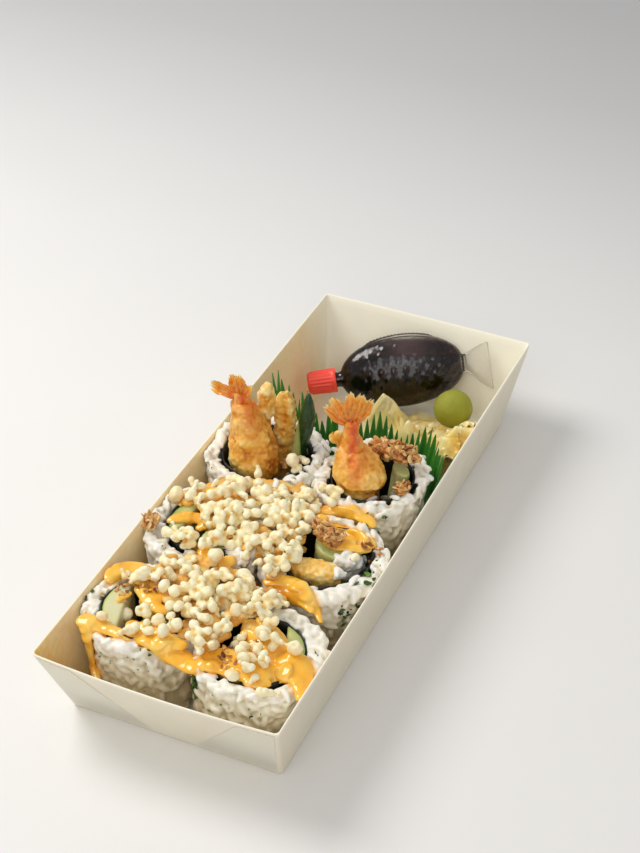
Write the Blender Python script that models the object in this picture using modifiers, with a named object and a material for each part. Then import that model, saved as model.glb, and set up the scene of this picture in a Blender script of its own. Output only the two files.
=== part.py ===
"""Takeaway sushi tray: a folded board tray with six fried prawn rolls, crunch and mayonnaise on top.

Behind the rolls are a leaf divider, pickled ginger, wasabi and a fish-shaped bottle of soy sauce.
Lengths in this file are millimetres and become metres where a mesh is made. +Z is up, +Y runs along
the tray to the soy sauce, and the origin is the centre of the tray's underside.
"""

import math
import random

import bmesh
import bpy
from mathutils import Matrix, Vector, noise
from mathutils.bvhtree import BVHTree

METRES = 0.001
GAP = 0.3

# Board tray
TRAY_WIDTH = 96.0
TRAY_LENGTH = 255.0
TRAY_HEIGHT = 35.5
SIDE_LEAN = 6.1
END_LEAN = 14.7
BOARD = 0.8
END_BOW = 1.3
FLOOR = BOARD + GAP

# Rolls: the rice is pressed rather than round, and the bore holds the seaweed and the fillings
RICE_BUMP = 0.6
PRESSED = 2.35
TOP_EDGE = 2.6
BASE_SCALE = 0.89
SEAWEED = 0.6

# Prawn tails: the way their fans face, and a lobe's thickness
TAIL_FACING = Vector((0.32, -0.73, 0.6))
LOBE_THICKNESS = 1.5
LOBE_CURL = 0.8

# Mayonnaise: its clearance over the smooth rice, which leaves room for the rice's bumps
MAYONNAISE_CLEAR = RICE_BUMP + GAP + 0.35

# Crunch
CRUNCH_CELL = 6.2
CRUNCH_CLEAR = 0.45
CRUNCH_COUNT = 44
CRUNCH_SMALLEST = 1.7
CRUNCH_LARGEST = 3.1
CRUNCH_LOWEST = 33.0

# Soy sauce fish
FISH_CENTRE = Vector((-2.0, 105.5, 20.6))
FISH_YAW = math.radians(27)
FISH_RISE = math.radians(8)
FISH_LEAN = math.radians(58)
FISH_LENGTH = 54.0
FISH_WIDTH = 31.0
FISH_THICKNESS = 19.0
FISH_WALL = 0.9
NOZZLE_RADIUS = 3.2
NOZZLE_LENGTH = 9.0
CAP_RADIUS = 5.4
CAP_LENGTH = 12.5
SOY_LEVEL = 30.6

# Leaf divider: how deep its spikes are cut, and the height at which its head points lie
LEAF_NOTCH = 6.5
LEAF_HEAD = 34.0

# Wasabi and pickled ginger
WASABI_CENTRE = Vector((27.5, 90.0, 19.2))
WASABI_RADIUS = 8.6
GINGER_THICKNESS = 1.5
GINGER_STEP = 2.6
GINGER_NEAREST = 50.0
TENT_PEAK = (4.0, 69.0)
TENT_REACH = (24.0, 14.0, 14.0)
TENT_HEIGHT = 27.0

COLOURS = {
    "board": (0.80, 0.68, 0.48, 0.75),
    "rice": (0.74, 0.75, 0.71, 0.45),
    "seaweed": (0.010, 0.018, 0.012, 0.5),
    "cucumber": (0.42, 0.52, 0.20, 0.35),
    "avocado": (0.47, 0.52, 0.22, 0.4),
    "tempura": (0.62, 0.32, 0.07, 0.5),
    "tail": (0.70, 0.16, 0.02, 0.35),
    "crunch": (0.82, 0.70, 0.40, 0.6),
    "flake": (0.42, 0.17, 0.04, 0.6),
    "mayonnaise": (0.90, 0.42, 0.04, 0.2),
    "leaf": (0.02, 0.18, 0.05, 0.35),
    "ginger": (0.80, 0.57, 0.20, 0.35),
    "wasabi": (0.28, 0.32, 0.03, 0.6),
    "clear_plastic": (0.85, 0.82, 0.76, 0.1),
    "soy_sauce": (0.02, 0.008, 0.006, 0.1),
    "red_plastic": (0.75, 0.04, 0.03, 0.35),
}


def clear_scene():
    for obj in list(bpy.data.objects):
        bpy.data.objects.remove(obj, do_unlink=True)


def new_collection(name):
    collection = bpy.data.collections.new(name)
    bpy.context.scene.collection.children.link(collection)
    return collection


def material(name):
    made = bpy.data.materials.get(name)
    if made:
        return made
    made = bpy.data.materials.new(name)
    made.use_nodes = True
    shader = made.node_tree.nodes["Principled BSDF"]
    red, green, blue, roughness = COLOURS[name]
    shader.inputs["Base Color"].default_value = (red, green, blue, 1.0)
    shader.inputs["Roughness"].default_value = roughness
    shader.inputs["Metallic"].default_value = 0.0
    made.diffuse_color = (red, green, blue, 1.0)
    return made


def add_solid(name, bm, material_name, collection, smooth=True):
    """A named object from a mesh in millimetres."""
    bmesh.ops.recalc_face_normals(bm, faces=bm.faces)
    bmesh.ops.scale(bm, vec=(METRES,) * 3, verts=bm.verts)
    mesh = bpy.data.meshes.new(name)
    bm.to_mesh(mesh)
    bm.free()
    mesh.materials.append(material(material_name))
    obj = bpy.data.objects.new(name, mesh)
    collection.objects.link(obj)
    if smooth:
        mesh.shade_smooth()
        mesh.set_sharp_from_angle(angle=math.radians(50))
    return obj


def loft(rings, joined=False):
    """A closed body through rings of points, with its ends capped, or joined to each other."""
    bm = bmesh.new()
    rows = [[bm.verts.new(point) for point in ring] for ring in rings]
    pairs = list(zip(rows, rows[1:]))
    if joined:
        pairs.append((rows[-1], rows[0]))
    for lower, upper in pairs:
        count = len(lower)
        for i in range(count):
            after = (i + 1) % count
            bm.faces.new((lower[i], lower[after], upper[after], upper[i]))
    if not joined:
        bm.faces.new(rows[0][::-1])
        bm.faces.new(rows[-1])
    return bm


def mix(first, second, share):
    return first + (second - first) * share


def ease(value):
    value = min(max(value, 0.0), 1.0)
    return value * value * (3.0 - 2.0 * value)


def inner_wall(z):
    """Half the tray's inside width at a height."""
    return TRAY_WIDTH / 2 - SIDE_LEAN * (1 - z / TRAY_HEIGHT) - BOARD


# Board tray


def tray_outline(z, per_side=6):
    """The tray's outside at a height, as one loop; its end walls bow out a little towards the rim."""
    up = z / TRAY_HEIGHT
    half_width = TRAY_WIDTH / 2 - SIDE_LEAN * (1 - up)
    half_length = TRAY_LENGTH / 2 - END_LEAN * (1 - up)
    corners = [(-1, -1), (1, -1), (1, 1), (-1, 1)]
    points = []
    for start, end in zip(corners, corners[1:] + corners[:1]):
        for i in range(per_side):
            share = i / per_side
            across = mix(start[0], end[0], share)
            along = mix(start[1], end[1], share)
            on_end = start[1] == end[1]
            bow = END_BOW * up * up * (1 - across * across) * along if on_end else 0.0
            drop = 0.5 * END_BOW * up * (1 - across * across) if on_end else 0.0
            points.append((across * half_width, along * half_length + bow, z - drop))
    return points


def build_tray(collection):
    bm = bmesh.new()
    heights = (0.0, TRAY_HEIGHT / 2, TRAY_HEIGHT)
    rows = [[bm.verts.new(point) for point in tray_outline(z)] for z in heights]
    bm.faces.new(rows[0][::-1])
    for lower, upper in zip(rows, rows[1:]):
        for i in range(len(lower)):
            after = (i + 1) % len(lower)
            bm.faces.new((lower[i], lower[after], upper[after], upper[i]))
    obj = add_solid("tray", bm, "board", collection, smooth=False)
    shell = obj.modifiers.new("board thickness", "SOLIDIFY")
    shell.thickness = BOARD * METRES
    shell.offset = -1.0
    shell.use_even_offset = True
    return obj


# Rolls


class Roll:
    """One roll: its rice skin, and the bore inside it, both leaning a little with the tray's walls."""

    def __init__(self, top, base, height, radii, bore, bore_radius, cell, seed):
        self.top = Vector(top)
        self.base = Vector(base)
        self.height = height
        self.radii = radii
        self.bore = Vector(bore)
        self.bore_radius = bore_radius
        self.cell = cell
        self.seed = seed

    def share(self, z):
        return (z - FLOOR) / (self.height - FLOOR)

    def radius(self, angle):
        wide = abs(math.cos(angle)) / self.radii[0]
        deep = abs(math.sin(angle)) / self.radii[1]
        return (wide**PRESSED + deep**PRESSED) ** (-1 / PRESSED)

    def kept_in_cell(self, x, y, z):
        """Rolls press flat against the walls and against each other."""
        side, wall_clear, near, far = self.cell
        outer = inner_wall(z) - wall_clear
        x = min(max(x * side, GAP / 2 + 0.05), outer) * side
        return Vector((x, min(max(y, near), far), z))

    def skin(self, angle, inward, lift=0.0, pressed=True):
        """A point on the rice: inward of the top edge when positive, down the side when negative."""
        radius = self.radius(angle)
        if inward >= TOP_EDGE:
            out, z = radius - inward, self.height + lift
        elif inward > -TOP_EDGE:
            turn = (1 - inward / TOP_EDGE) * math.pi / 4
            reach = TOP_EDGE + lift
            out = radius - TOP_EDGE + reach * math.sin(turn)
            z = self.height - TOP_EDGE + reach * math.cos(turn)
        else:
            z = self.height + inward
            share = self.share(z)
            out = radius * mix(BASE_SCALE, 1.0, share) + lift
        centre = self.base.lerp(self.top, self.share(z))
        x = centre.x + out * math.cos(angle)
        y = centre.y + out * math.sin(angle)
        return self.kept_in_cell(x, y, z) if pressed else Vector((x, y, z))

    def inside(self, across, along, z):
        """A point of the bore, measured at the top and narrowing towards the base."""
        share = self.share(z)
        centre = self.base.lerp(self.top, share)
        scale = mix(BASE_SCALE, 1.0, share)
        offset = self.bore - self.top
        return Vector((
            centre.x + (offset.x + across) * scale,
            centre.y + (offset.y + along) * scale,
            z,
        ))


ROLLS = {
    "front_left": Roll((-23.2, -87.0), (-20.8, -88.5), 34.0, (23.0, 23.8),
                       (-23.0, -88.0), 17.3, (-1, 0.4, -120, -63.1), 1),
    "front_right": Roll((22.8, -89.6), (20.7, -90.5), 32.0, (23.2, 23.8),
                        (21.8, -90.0), 18.0, (1, 0.4, -120, -63.1), 2),
    "middle_left": Roll((-23.6, -38.4), (-20.8, -40.0), 35.0, (23.0, 23.8),
                        (-23.0, -37.5), 17.0, (-1, 0.4, -62.5, 0), 3),
    "middle_right": Roll((23.6, -35.5), (20.7, -37.5), 34.0, (23.2, 23.8),
                         (23.7, -34.8), 17.8, (1, 0.4, -62.5, 0), 4),
    "back_left": Roll((-23.2, 13.0), (-20.6, 11.5), 35.0, (23.2, 24.0),
                      (-22.4, 12.0), 18.4, (-1, 0.4, -14, 60), 5),
    "back_right": Roll((21.7, 14.8), (19.3, 12.9), 36.0, (21.4, 23.2),
                       (22.0, 14.2), 16.9, (1, 2.6, -14, 60), 6),
}

# A mound on a rice ring's edge, as its direction in degrees, its spread and its height
RICE_MOUNDS = {"back_left": (155, 22, 3.6)}


def build_rice(name, roll, collection, around=25, levels=4, mound=None):
    """A ring of pressed rice round the bore, with a mound on its edge where it has one."""
    chance = random.Random(roll.seed)
    depth = roll.height - FLOOR - TOP_EDGE
    rings = []
    for i in range(around):
        angle = math.tau * i / around
        bore = roll.bore_radius + GAP
        around_bore = (bore * math.cos(angle), bore * math.sin(angle))
        low = roll.skin(angle, FLOOR - roll.height)
        ring = [roll.inside(*around_bore, FLOOR), low]
        for level in range(1, levels):
            inward = -TOP_EDGE - depth * (1 - level / levels)
            ring.append(roll.skin(angle, inward, chance.uniform(-RICE_BUMP, RICE_BUMP)))
        extra = 0.0
        if mound:
            direction, spread, height = mound
            extra = height * math.exp(-(((math.degrees(angle) - direction) / spread) ** 2))
        for inward, risen in ((-TOP_EDGE, 0.2), (0.0, 0.8), (TOP_EDGE, 1.0)):
            top = roll.skin(angle, inward, chance.uniform(-RICE_BUMP, RICE_BUMP))
            ring.append(top + Vector((0, 0, extra * risen)))
        rim = roll.inside(*around_bore, roll.height - 0.4)
        ring.append(rim + Vector((0, 0, chance.uniform(-RICE_BUMP, RICE_BUMP) + 0.4 * extra)))
        rings.append(ring)
    return add_solid("rice_" + name, loft(rings, joined=True), "rice", collection)


def build_seaweed(name, roll, collection, around=16):
    """The seaweed between the rice and the fillings, its cut edge a little uneven."""
    chance = random.Random(roll.seed + 20)
    rings = []
    for i in range(around):
        angle = math.tau * i / around
        top = roll.height - 0.4 + chance.uniform(-0.5, 0.7)
        ring = []
        for radius, z in ((0, FLOOR), (-SEAWEED, FLOOR), (-SEAWEED, top), (0, top)):
            reach = roll.bore_radius + radius
            ring.append(roll.inside(reach * math.cos(angle), reach * math.sin(angle), z))
        rings.append(ring)
    return add_solid("seaweed_" + name, loft(rings, joined=True), "seaweed", collection)


# Fillings, as outlines in a bore


def slice_outline(roll, direction, cut, count=10):
    """A half-moon slice against the seaweed: the part of the bore beyond a chord."""
    radius = roll.bore_radius - SEAWEED - GAP
    facing = math.radians(direction)
    half = math.acos(cut / radius)
    corner = 0.12
    points = []
    for i in range(count):
        angle = facing + mix(-half + corner, half - corner, i / (count - 1))
        points.append((radius * math.cos(angle), radius * math.sin(angle)))
    return points


def oval_outline(centre, radii, turn, count=10, uneven=0.04, seed=0):
    """An uneven oval."""
    turned = math.radians(turn)
    points = []
    for i in range(count):
        angle = math.tau * i / count
        scale = 1 + uneven * math.sin(3 * angle + seed)
        along = radii[0] * scale * math.cos(angle)
        across = radii[1] * scale * math.sin(angle)
        points.append((
            centre[0] + along * math.cos(turned) - across * math.sin(turned),
            centre[1] + along * math.sin(turned) + across * math.cos(turned),
        ))
    return points


def build_filling(name, roll, outline, rise, material_name, collection, dome=0.8):
    """A filling that runs through the roll, with a softly domed cut end."""
    centre_x = sum(point[0] for point in outline) / len(outline)
    centre_y = sum(point[1] for point in outline) / len(outline)
    top = roll.height + rise
    rings = []
    for z, size in ((FLOOR, 0.97), (top - dome, 1.0), (top - 0.3 * dome, 0.88), (top, 0.5)):
        ring = []
        for across, along in outline:
            x = mix(centre_x, across, size)
            y = mix(centre_y, along, size)
            ring.append(roll.inside(x, y, z))
        rings.append(ring)
    return add_solid(name, loft(rings), material_name, collection)


def build_column(name, stations, material_name, collection, count=12, uneven=0.5, seed=0):
    """A knobbly column through (x, y, z, radius along X, radius along Y) stations."""
    chance = random.Random(seed)
    rings = []
    for x, y, z, wide, deep in stations:
        ring = []
        for i in range(count):
            angle = math.tau * i / count
            knob = chance.uniform(-uneven, uneven) if z > FLOOR + 1 else 0.0
            ring.append((
                x + (wide + knob) * math.cos(angle),
                y + (deep + knob) * math.sin(angle),
                z,
            ))
        rings.append(ring)
    return add_solid(name, loft(rings), material_name, collection)


def build_fillings(collection):
    fl, fr = ROLLS["front_left"], ROLLS["front_right"]
    ml, mr = ROLLS["middle_left"], ROLLS["middle_right"]
    br = ROLLS["back_right"]
    build_filling("cucumber_front_left", fl, slice_outline(fl, 195, 6.6), 0.4, "cucumber", collection)
    build_filling("prawn_front_left", fl, oval_outline((0.6, 7.0), (6.6, 7.6), 0), 0.6,
                  "tempura", collection, dome=1.6)
    build_filling("avocado_front_left", fl, oval_outline((6.6, -7.0), (6.4, 5.6), -40), -0.6,
                  "avocado", collection)
    build_filling("cucumber_front_right", fr, slice_outline(fr, 22, 8.4), 0.6, "cucumber", collection)
    build_filling("prawn_front_right", fr, oval_outline((-3.6, 8.6), (8.2, 5.0), -18), 1.4,
                  "tempura", collection, dome=1.8)
    build_filling("avocado_front_right", fr, oval_outline((-3.0, -6.8), (8.6, 6.4), 10), 0.2,
                  "avocado", collection)
    build_filling("cucumber_middle_left", ml, slice_outline(ml, 178, 7.6), 0.2, "cucumber", collection)
    build_filling("prawn_middle_left", ml, oval_outline((0.8, 6.0), (6.4, 7.6), 10), 0.8,
                  "tempura", collection, dome=1.6)
    build_filling("avocado_middle_left", ml, oval_outline((5.6, -7.4), (7.0, 5.4), -35), -0.4,
                  "avocado", collection)
    build_filling("prawn_middle_right", mr, oval_outline((-0.6, -8.6), (10.6, 5.2), 4), 1.8,
                  "tempura", collection, dome=2.4)
    build_filling("avocado_middle_right", mr, oval_outline((2.4, 6.0), (10.0, 6.6), -12), 0.4,
                  "avocado", collection)
    build_filling("cucumber_back_right", br, oval_outline((8.8, 7.4), (5.4, 3.0), -44), 1.2,
                  "cucumber", collection)


# Prawns that stand up out of the back rolls


def petal(root, tip, width):
    """A tapering, slightly cupped lobe of a tail fan."""
    axis = tip - root
    across = axis.cross(TAIL_FACING).normalized()
    normal = across.cross(axis).normalized()
    rings = []
    for share, wide in ((0.0, 0.5), (0.5, 0.95), (0.85, 0.9), (1.0, 0.45)):
        centre = root + axis * share + normal * LOBE_CURL * share * share
        ring = []
        for side, up in ((-1, 0), (0, 0.5), (1, 0), (0, -0.5)):
            ring.append(centre + across * side * wide * width / 2 + normal * up * LOBE_THICKNESS)
        rings.append(ring)
    return loft(rings)


def stalk(stations, count=8):
    """A round stem through (point, radius) stations."""
    rings = []
    for i, (centre, radius) in enumerate(stations):
        following = stations[min(i + 1, len(stations) - 1)][0]
        before = stations[max(i - 1, 0)][0]
        axis = (following - before).normalized()
        side = axis.cross(Vector((0.1, 0.9, 0.2))).normalized()
        up = side.cross(axis)
        rings.append([
            centre + (side * math.cos(math.tau * j / count) + up * math.sin(math.tau * j / count)) * radius
            for j in range(count)
        ])
    return loft(rings)


def keep_main_skin(mesh):
    """Drops the skins of sealed hollows and of loose scraps, and keeps the largest."""
    bm = bmesh.new()
    bm.from_mesh(mesh)
    left = set(bm.faces)
    islands = []
    while left:
        island = []
        growing = [left.pop()]
        while growing:
            face = growing.pop()
            island.append(face)
            plain = [edge for edge in face.edges if len(edge.link_faces) == 2]
            near = {other for edge in plain for other in edge.link_faces} & left
            growing += near
            left -= near
        islands.append(island)
    islands.sort(key=len)
    for island in islands[:-1]:
        bmesh.ops.delete(bm, geom=island, context="FACES")
    bm.to_mesh(mesh)
    bm.free()


def fused(name, core, pieces, material_name, collection):
    """The core with the pieces joined on, as one body."""
    base = add_solid(name, core, material_name, collection)
    loose = new_collection(name + " pieces")
    for number, piece in enumerate(pieces):
        add_solid(f"{name} piece {number}", piece, material_name, loose, smooth=False)
    join = base.modifiers.new("join", "BOOLEAN")
    join.operation = "UNION"
    join.operand_type = "COLLECTION"
    join.collection = loose
    join.solver = "EXACT"
    graph = bpy.context.evaluated_depsgraph_get()
    mesh = bpy.data.meshes.new_from_object(base.evaluated_get(graph))
    keep_main_skin(mesh)
    base.modifiers.clear()
    base.data = mesh
    for obj in list(loose.objects):
        bpy.data.objects.remove(obj, do_unlink=True)
    bpy.data.collections.remove(loose)
    return base


def build_prawns(collection):
    build_column(
        "prawn_back_left",
        ((-23.6, 7.4, FLOOR, 9.0, 9.0), (-25.4, 7.6, 20, 9.6, 9.6), (-25.9, 7.7, 34, 10.2, 10.0),
         (-26.8, 8.0, 40, 9.8, 9.8), (-28.3, 8.4, 47, 8.0, 8.0), (-30.4, 8.8, 53, 6.0, 6.0),
         (-31.2, 9.2, 57, 5.2, 5.0), (-31.6, 9.4, 58.7, 4.0, 3.8)),
        "tempura", collection, seed=31)
    root = Vector((-32.0, 9.6, 61.0))
    tips = ((-44.6, 9.4, 62.4, 6.4), (-43.2, 6.6, 65.4, 5.4), (-36.4, 10.6, 69.4, 7.0),
            (-31.6, 9.8, 68.6, 6.4), (-27.4, 9.4, 65.4, 5.6))
    petals = [petal(root, Vector(tip[:3]), tip[3]) for tip in tips]
    base = stalk(((Vector((-31.6, 9.5, 60.2)), 3.2), (Vector((-32.6, 9.7, 63.0)), 4.4),
                  (Vector((-33.6, 9.9, 65.2)), 2.4)))
    fused("prawn_tail_back_left", base, petals, "tail", collection)

    build_column(
        "prawn_back_right",
        ((17.2, 7.8, FLOOR, 7.6, 7.6), (18.4, 8.4, 20, 8.2, 8.2), (18.9, 8.9, 35, 8.5, 8.5),
         (19.2, 7.8, 40, 10.6, 10.2), (18.4, 8.0, 43, 9.9, 9.5), (16.8, 8.8, 47, 8.2, 8.0),
         (15.6, 9.6, 49.6, 6.2, 6.0), (15.2, 9.9, 50.6, 5.0, 5.0)),
        "tempura", collection, seed=32)
    root = Vector((13.4, 12.0, 60.0))
    tips = ((3.6, 9.8, 66.4, 6.2), (6.4, 11.4, 69.8, 5.8), (10.6, 13.4, 72.2, 6.0),
            (15.4, 15.2, 72.8, 6.4), (20.4, 17.0, 71.4, 6.4))
    petals = [petal(root, Vector(tip[:3]), tip[3]) for tip in tips]
    base = stalk(((Vector((15.0, 10.2, 52.2)), 4.8), (Vector((14.4, 10.9, 56.5)), 4.2),
                  (Vector((13.4, 12.0, 61.0)), 3.8), (Vector((13.0, 12.8, 64.5)), 2.2)))
    fused("prawn_tail_back_right", base, petals, "tail", collection)

    build_column(
        "tempura_back_left",
        ((-20.6, 22.4, FLOOR, 3.4, 3.4), (-20.6, 23.4, 34, 3.8, 3.8), (-20.2, 24.0, 42, 4.4, 3.6),
         (-19.9, 24.2, 50, 4.3, 3.2), (-20.2, 24.2, 54.5, 3.4, 2.8), (-20.6, 24.2, 57, 1.4, 1.4)),
        "tempura", collection, count=10, uneven=0.3, seed=33)
    build_column(
        "batter_back_left",
        ((-27.4, 20.4, FLOOR, 2.2, 2.2), (-28.4, 21.4, 34, 2.5, 2.5), (-27.6, 21.0, 42, 2.9, 2.9),
         (-26.4, 19.2, 50, 3.1, 3.1), (-25.3, 17.6, 56, 3.2, 3.2), (-25.0, 17.0, 61, 2.6, 2.6),
         (-25.0, 17.0, 63.5, 1.3, 1.3)),
        "tempura", collection, count=8, uneven=0.2, seed=36)
    build_column(
        "cucumber_back_left",
        ((-12.8, 19.4, FLOOR, 2.8, 3.2), (-12.2, 20.2, 34, 3.0, 3.4), (-10.6, 21.2, 42, 3.5, 3.5),
         (-9.4, 22.0, 50, 3.4, 3.2), (-9.5, 22.8, 56, 2.0, 2.1), (-9.7, 23.2, 59.5, 0.7, 0.8)),
        "cucumber", collection, count=10, uneven=0.1, seed=34)
    build_column(
        "tempura_back_right",
        ((10.4, 18.0, FLOOR, 2.8, 2.8), (10.9, 19.6, 34, 3.0, 3.0), (9.4, 19.4, 40, 3.9, 3.6),
         (6.4, 17.2, 46, 3.2, 3.2), (4.6, 15.4, 51, 1.6, 1.6)),
        "tempura", collection, count=10, uneven=0.25, seed=35)


# Mayonnaise


def on_top(roll, x, y):
    """Where a point over the roll lies, as an angle and a distance in from the top edge."""
    offset = Vector((x, y)) - roll.top
    angle = math.atan2(offset.y, offset.x)
    return math.degrees(angle), roll.radius(angle) - offset.length


def smooth_path(points, steps):
    """Catmull-Rom points through a list of tuples."""
    padded = [points[0], *points, points[-1]]
    path = []
    for first, second, third, fourth in zip(padded, padded[1:], padded[2:], padded[3:]):
        for i in range(steps):
            t = i / steps
            path.append(tuple(
                0.5 * (2 * b + (c - a) * t + (2 * a - 5 * b + 4 * c - d) * t * t
                       + (3 * b - a - 3 * c + d) * t * t * t)
                for a, b, c, d in zip(first, second, third, fourth)
            ))
    path.append(tuple(points[-1]))
    return path


def build_ribbon(name, roll, route, collection, thick=1.5, steps=2):
    """Mayonnaise along a route of (angle, distance in from the top edge, width) on a roll."""
    path = smooth_path(route, steps)
    rings = []
    for i, (degrees, inward, width) in enumerate(path):
        before, after = path[max(i - 1, 0)], path[min(i + 1, len(path) - 1)]
        turn = (after[0] - before[0]) * math.tau / 360 * roll.radius(math.radians(degrees))
        down = after[1] - before[1]
        length = math.hypot(turn, down) or 1.0
        across = (-down / length, turn / length)
        end = min(i, len(path) - 1 - i)
        fullness = 0.45 if end == 0 else 0.85 if end == 1 else 1.0
        ring = []
        for side, up in ((-1, 0.15), (-0.5, 0.9), (0.5, 0.9), (1, 0.15), (0, 0)):
            shift = side * width / 2 * fullness
            angle = math.radians(degrees) + across[0] * shift / max(roll.radius(0) - max(inward, 0), 6)
            lift = MAYONNAISE_CLEAR + up * thick * fullness
            ring.append(roll.skin(angle, inward + across[1] * shift, lift, pressed=False))
        rings.append(ring)
    return add_solid(name, loft(rings), "mayonnaise", collection)


def build_mayonnaise(collection):
    fl, fr = ROLLS["front_left"], ROLLS["front_right"]
    ml, mr = ROLLS["middle_left"], ROLLS["middle_right"]
    chord = [(*on_top(fl, x, y), width) for x, y, width in
             ((-38.6, -100.2, 7.0), (-30.4, -102.0, 6.0), (-19.5, -101.4, 6.0), (-8.6, -100.6, 5.4))]
    chord = [(degrees % 360, inward, width) for degrees, inward, width in chord]
    build_ribbon("mayonnaise_front_left", fl,
                 [(222, -24, 4.5), (222, -12, 5.6), (221, -2, 6.4), *chord, (322, 0, 4.6), (320, -5, 3.6)],
                 collection)
    build_ribbon("mayonnaise_front_right", fr,
                 [(262, 6.5, 7), (290, 7.5, 8), (316, 5.0, 10), (327, -1, 9), (324, -8, 7),
                  (319, -15, 4.5)],
                 collection, thick=1.7)
    build_ribbon("mayonnaise_middle_left", ml,
                 [(196, 3.5, 5), (212, 8.0, 7), (236, 6.0, 6), (262, 4.4, 6), (276, 2.6, 5), (288, 3.2, 4)],
                 collection)
    build_ribbon("mayonnaise_middle_right", mr,
                 [(100, 5, 7), (78, 8.0, 10), (52, 7.5, 11), (30, 5.5, 9), (12, 4.0, 5)],
                 collection, thick=1.8)


# Fried flakes


def settle(bm, under):
    """Move the whole lump up or down until its lowest places just clear what is below."""
    places = [vert.co for vert in bm.verts] + [face.calc_center_median() for face in bm.faces]
    places += [(edge.verts[0].co + edge.verts[1].co) / 2 for edge in bm.edges]
    tops = [(under(place.x, place.y), place.z) for place in places]
    lift = max(height - z for height, z in tops if height is not None) + GAP
    bmesh.ops.translate(bm, vec=(0, 0, lift), verts=bm.verts)


def build_flake(name, centre, size, tilt, seed, collection, under=None):
    """A craggy fried crumb: a subdivided lump with sharp hollows."""
    bm = bmesh.new()
    bmesh.ops.create_icosphere(bm, subdivisions=2, radius=1.0)
    turn = Matrix.Rotation(math.radians(tilt[1]), 3, "Y") @ Matrix.Rotation(math.radians(tilt[0]), 3, "Z")
    for vert in bm.verts:
        way = vert.co.normalized()
        crag = 1 + 0.34 * noise.noise(way * 2.6 + Vector((seed, 0, 0)))
        vert.co = turn @ Vector((way.x * size[0], way.y * size[1], way.z * size[2])) * crag
        vert.co += Vector(centre)
    if under:
        settle(bm, under)
    return add_solid(name, bm, "flake", collection, smooth=False)


def build_flakes(collection):
    """Flakes that lie on whatever is below them, apart from the cluster held up by the back fillings."""
    under = top_finder([obj for obj in collection.objects if obj.name != "tray"])
    build_flake("fried_flakes_back_right", (27.6, 23.2, 43.2), (10.8, 4.9, 4.0), (8, 6), 7, collection)
    for name, x, y, size, tilt, seed in (
        ("fried_flake_middle_left", -42.0, -49.5, (2.8, 4.4, 1.8), (20, 10), 3),
        ("fried_flake_middle_right", 22.5, -29.0, (6.2, 4.6, 1.9), (-10, 22), 5),
        ("fried_flake_back_right", 36.4, 9.8, (2.4, 4.0, 1.8), (0, 0), 9),
    ):
        build_flake(name, (x, y, 0), size, tilt, seed, collection, under)


# Crunch


def top_finder(objects):
    """A function giving the highest surface of the objects at (x, y), or None."""
    trees = []
    for obj in objects:
        bm = bmesh.new()
        bm.from_mesh(obj.data)
        bmesh.ops.scale(bm, vec=(1 / METRES,) * 3, verts=bm.verts)
        trees.append(BVHTree.FromBMesh(bm))
        bm.free()

    def top(x, y):
        hits = [tree.ray_cast(Vector((x, y, 200)), Vector((0, 0, -1)))[0] for tree in trees]
        heights = [hit.z for hit in hits if hit]
        return max(heights) if heights else None

    return top


def highest_around(top, x, y, reach, lowest):
    """The highest surface within a reach, so that what lies on it stays clear."""
    found = lowest
    for i in range(-2, 3):
        for j in range(-2, 3):
            height = top(x + i * reach / 2, y + j * reach / 2)
            if height is not None:
                found = max(found, height)
    return found


def inside_blobs(blobs, x, y):
    """How far inside the heap's outline a point is: 0 on the edge, 1 in the middle."""
    return max(1 - math.hypot((x - cx) / rx, (y - cy) / ry) for cx, cy, rx, ry in blobs)


def on_outline(blobs, x, y):
    """A point outside the heap moves in to its outline."""
    if inside_blobs(blobs, x, y) >= 0:
        return x, y
    nearest = min(blobs, key=lambda blob: math.hypot((x - blob[0]) / blob[2], (y - blob[1]) / blob[3]))
    cx, cy, rx, ry = nearest
    far = math.hypot((x - cx) / rx, (y - cy) / ry)
    return cx + (x - cx) / far, cy + (y - cy) / far


def heap_core(blobs, under):
    """A thin uneven sheet over what carries it."""
    low_x = min(cx - rx for cx, cy, rx, ry in blobs)
    high_x = max(cx + rx for cx, cy, rx, ry in blobs)
    low_y = min(cy - ry for cx, cy, rx, ry in blobs)
    high_y = max(cy + ry for cx, cy, rx, ry in blobs)
    columns = int((high_x - low_x) / CRUNCH_CELL)
    lines = int((high_y - low_y) / CRUNCH_CELL)
    bm = bmesh.new()
    corners = {}

    def corner(i, j):
        if (i, j) not in corners:
            x, y = on_outline(blobs, low_x + i * CRUNCH_CELL, low_y + j * CRUNCH_CELL)
            low = highest_around(under, x, y, CRUNCH_CELL, CRUNCH_LOWEST) + CRUNCH_CLEAR
            deep = 0.9 + 1.5 * ease(2.2 * inside_blobs(blobs, x, y))
            corners[i, j] = (bm.verts.new((x, y, low)), bm.verts.new((x, y, low + deep)))
        return corners[i, j]

    used = set()
    for i in range(columns):
        for j in range(lines):
            x, y = low_x + (i + 0.5) * CRUNCH_CELL, low_y + (j + 0.5) * CRUNCH_CELL
            if inside_blobs(blobs, x, y) > 0:
                used.add((i, j))
    for i, j in sorted(used):
        for side in (-1, 1):
            if (i + side, j + 1) in used and (i, j + 1) not in used and (i + side, j) not in used:
                used.add((i, j + 1))
    for i, j in sorted(used):
        square = [corner(i, j), corner(i + 1, j), corner(i + 1, j + 1), corner(i, j + 1)]
        bm.faces.new([pair[1] for pair in square])
        bm.faces.new([pair[0] for pair in reversed(square)])
        sides = ((i, j - 1), (i + 1, j), (i, j + 1), (i - 1, j))
        for number, side in enumerate(sides):
            if side not in used:
                first, second = square[number], square[(number + 1) % 4]
                bm.faces.new((first[0], second[0], second[1], first[1]))
    return bm


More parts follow.
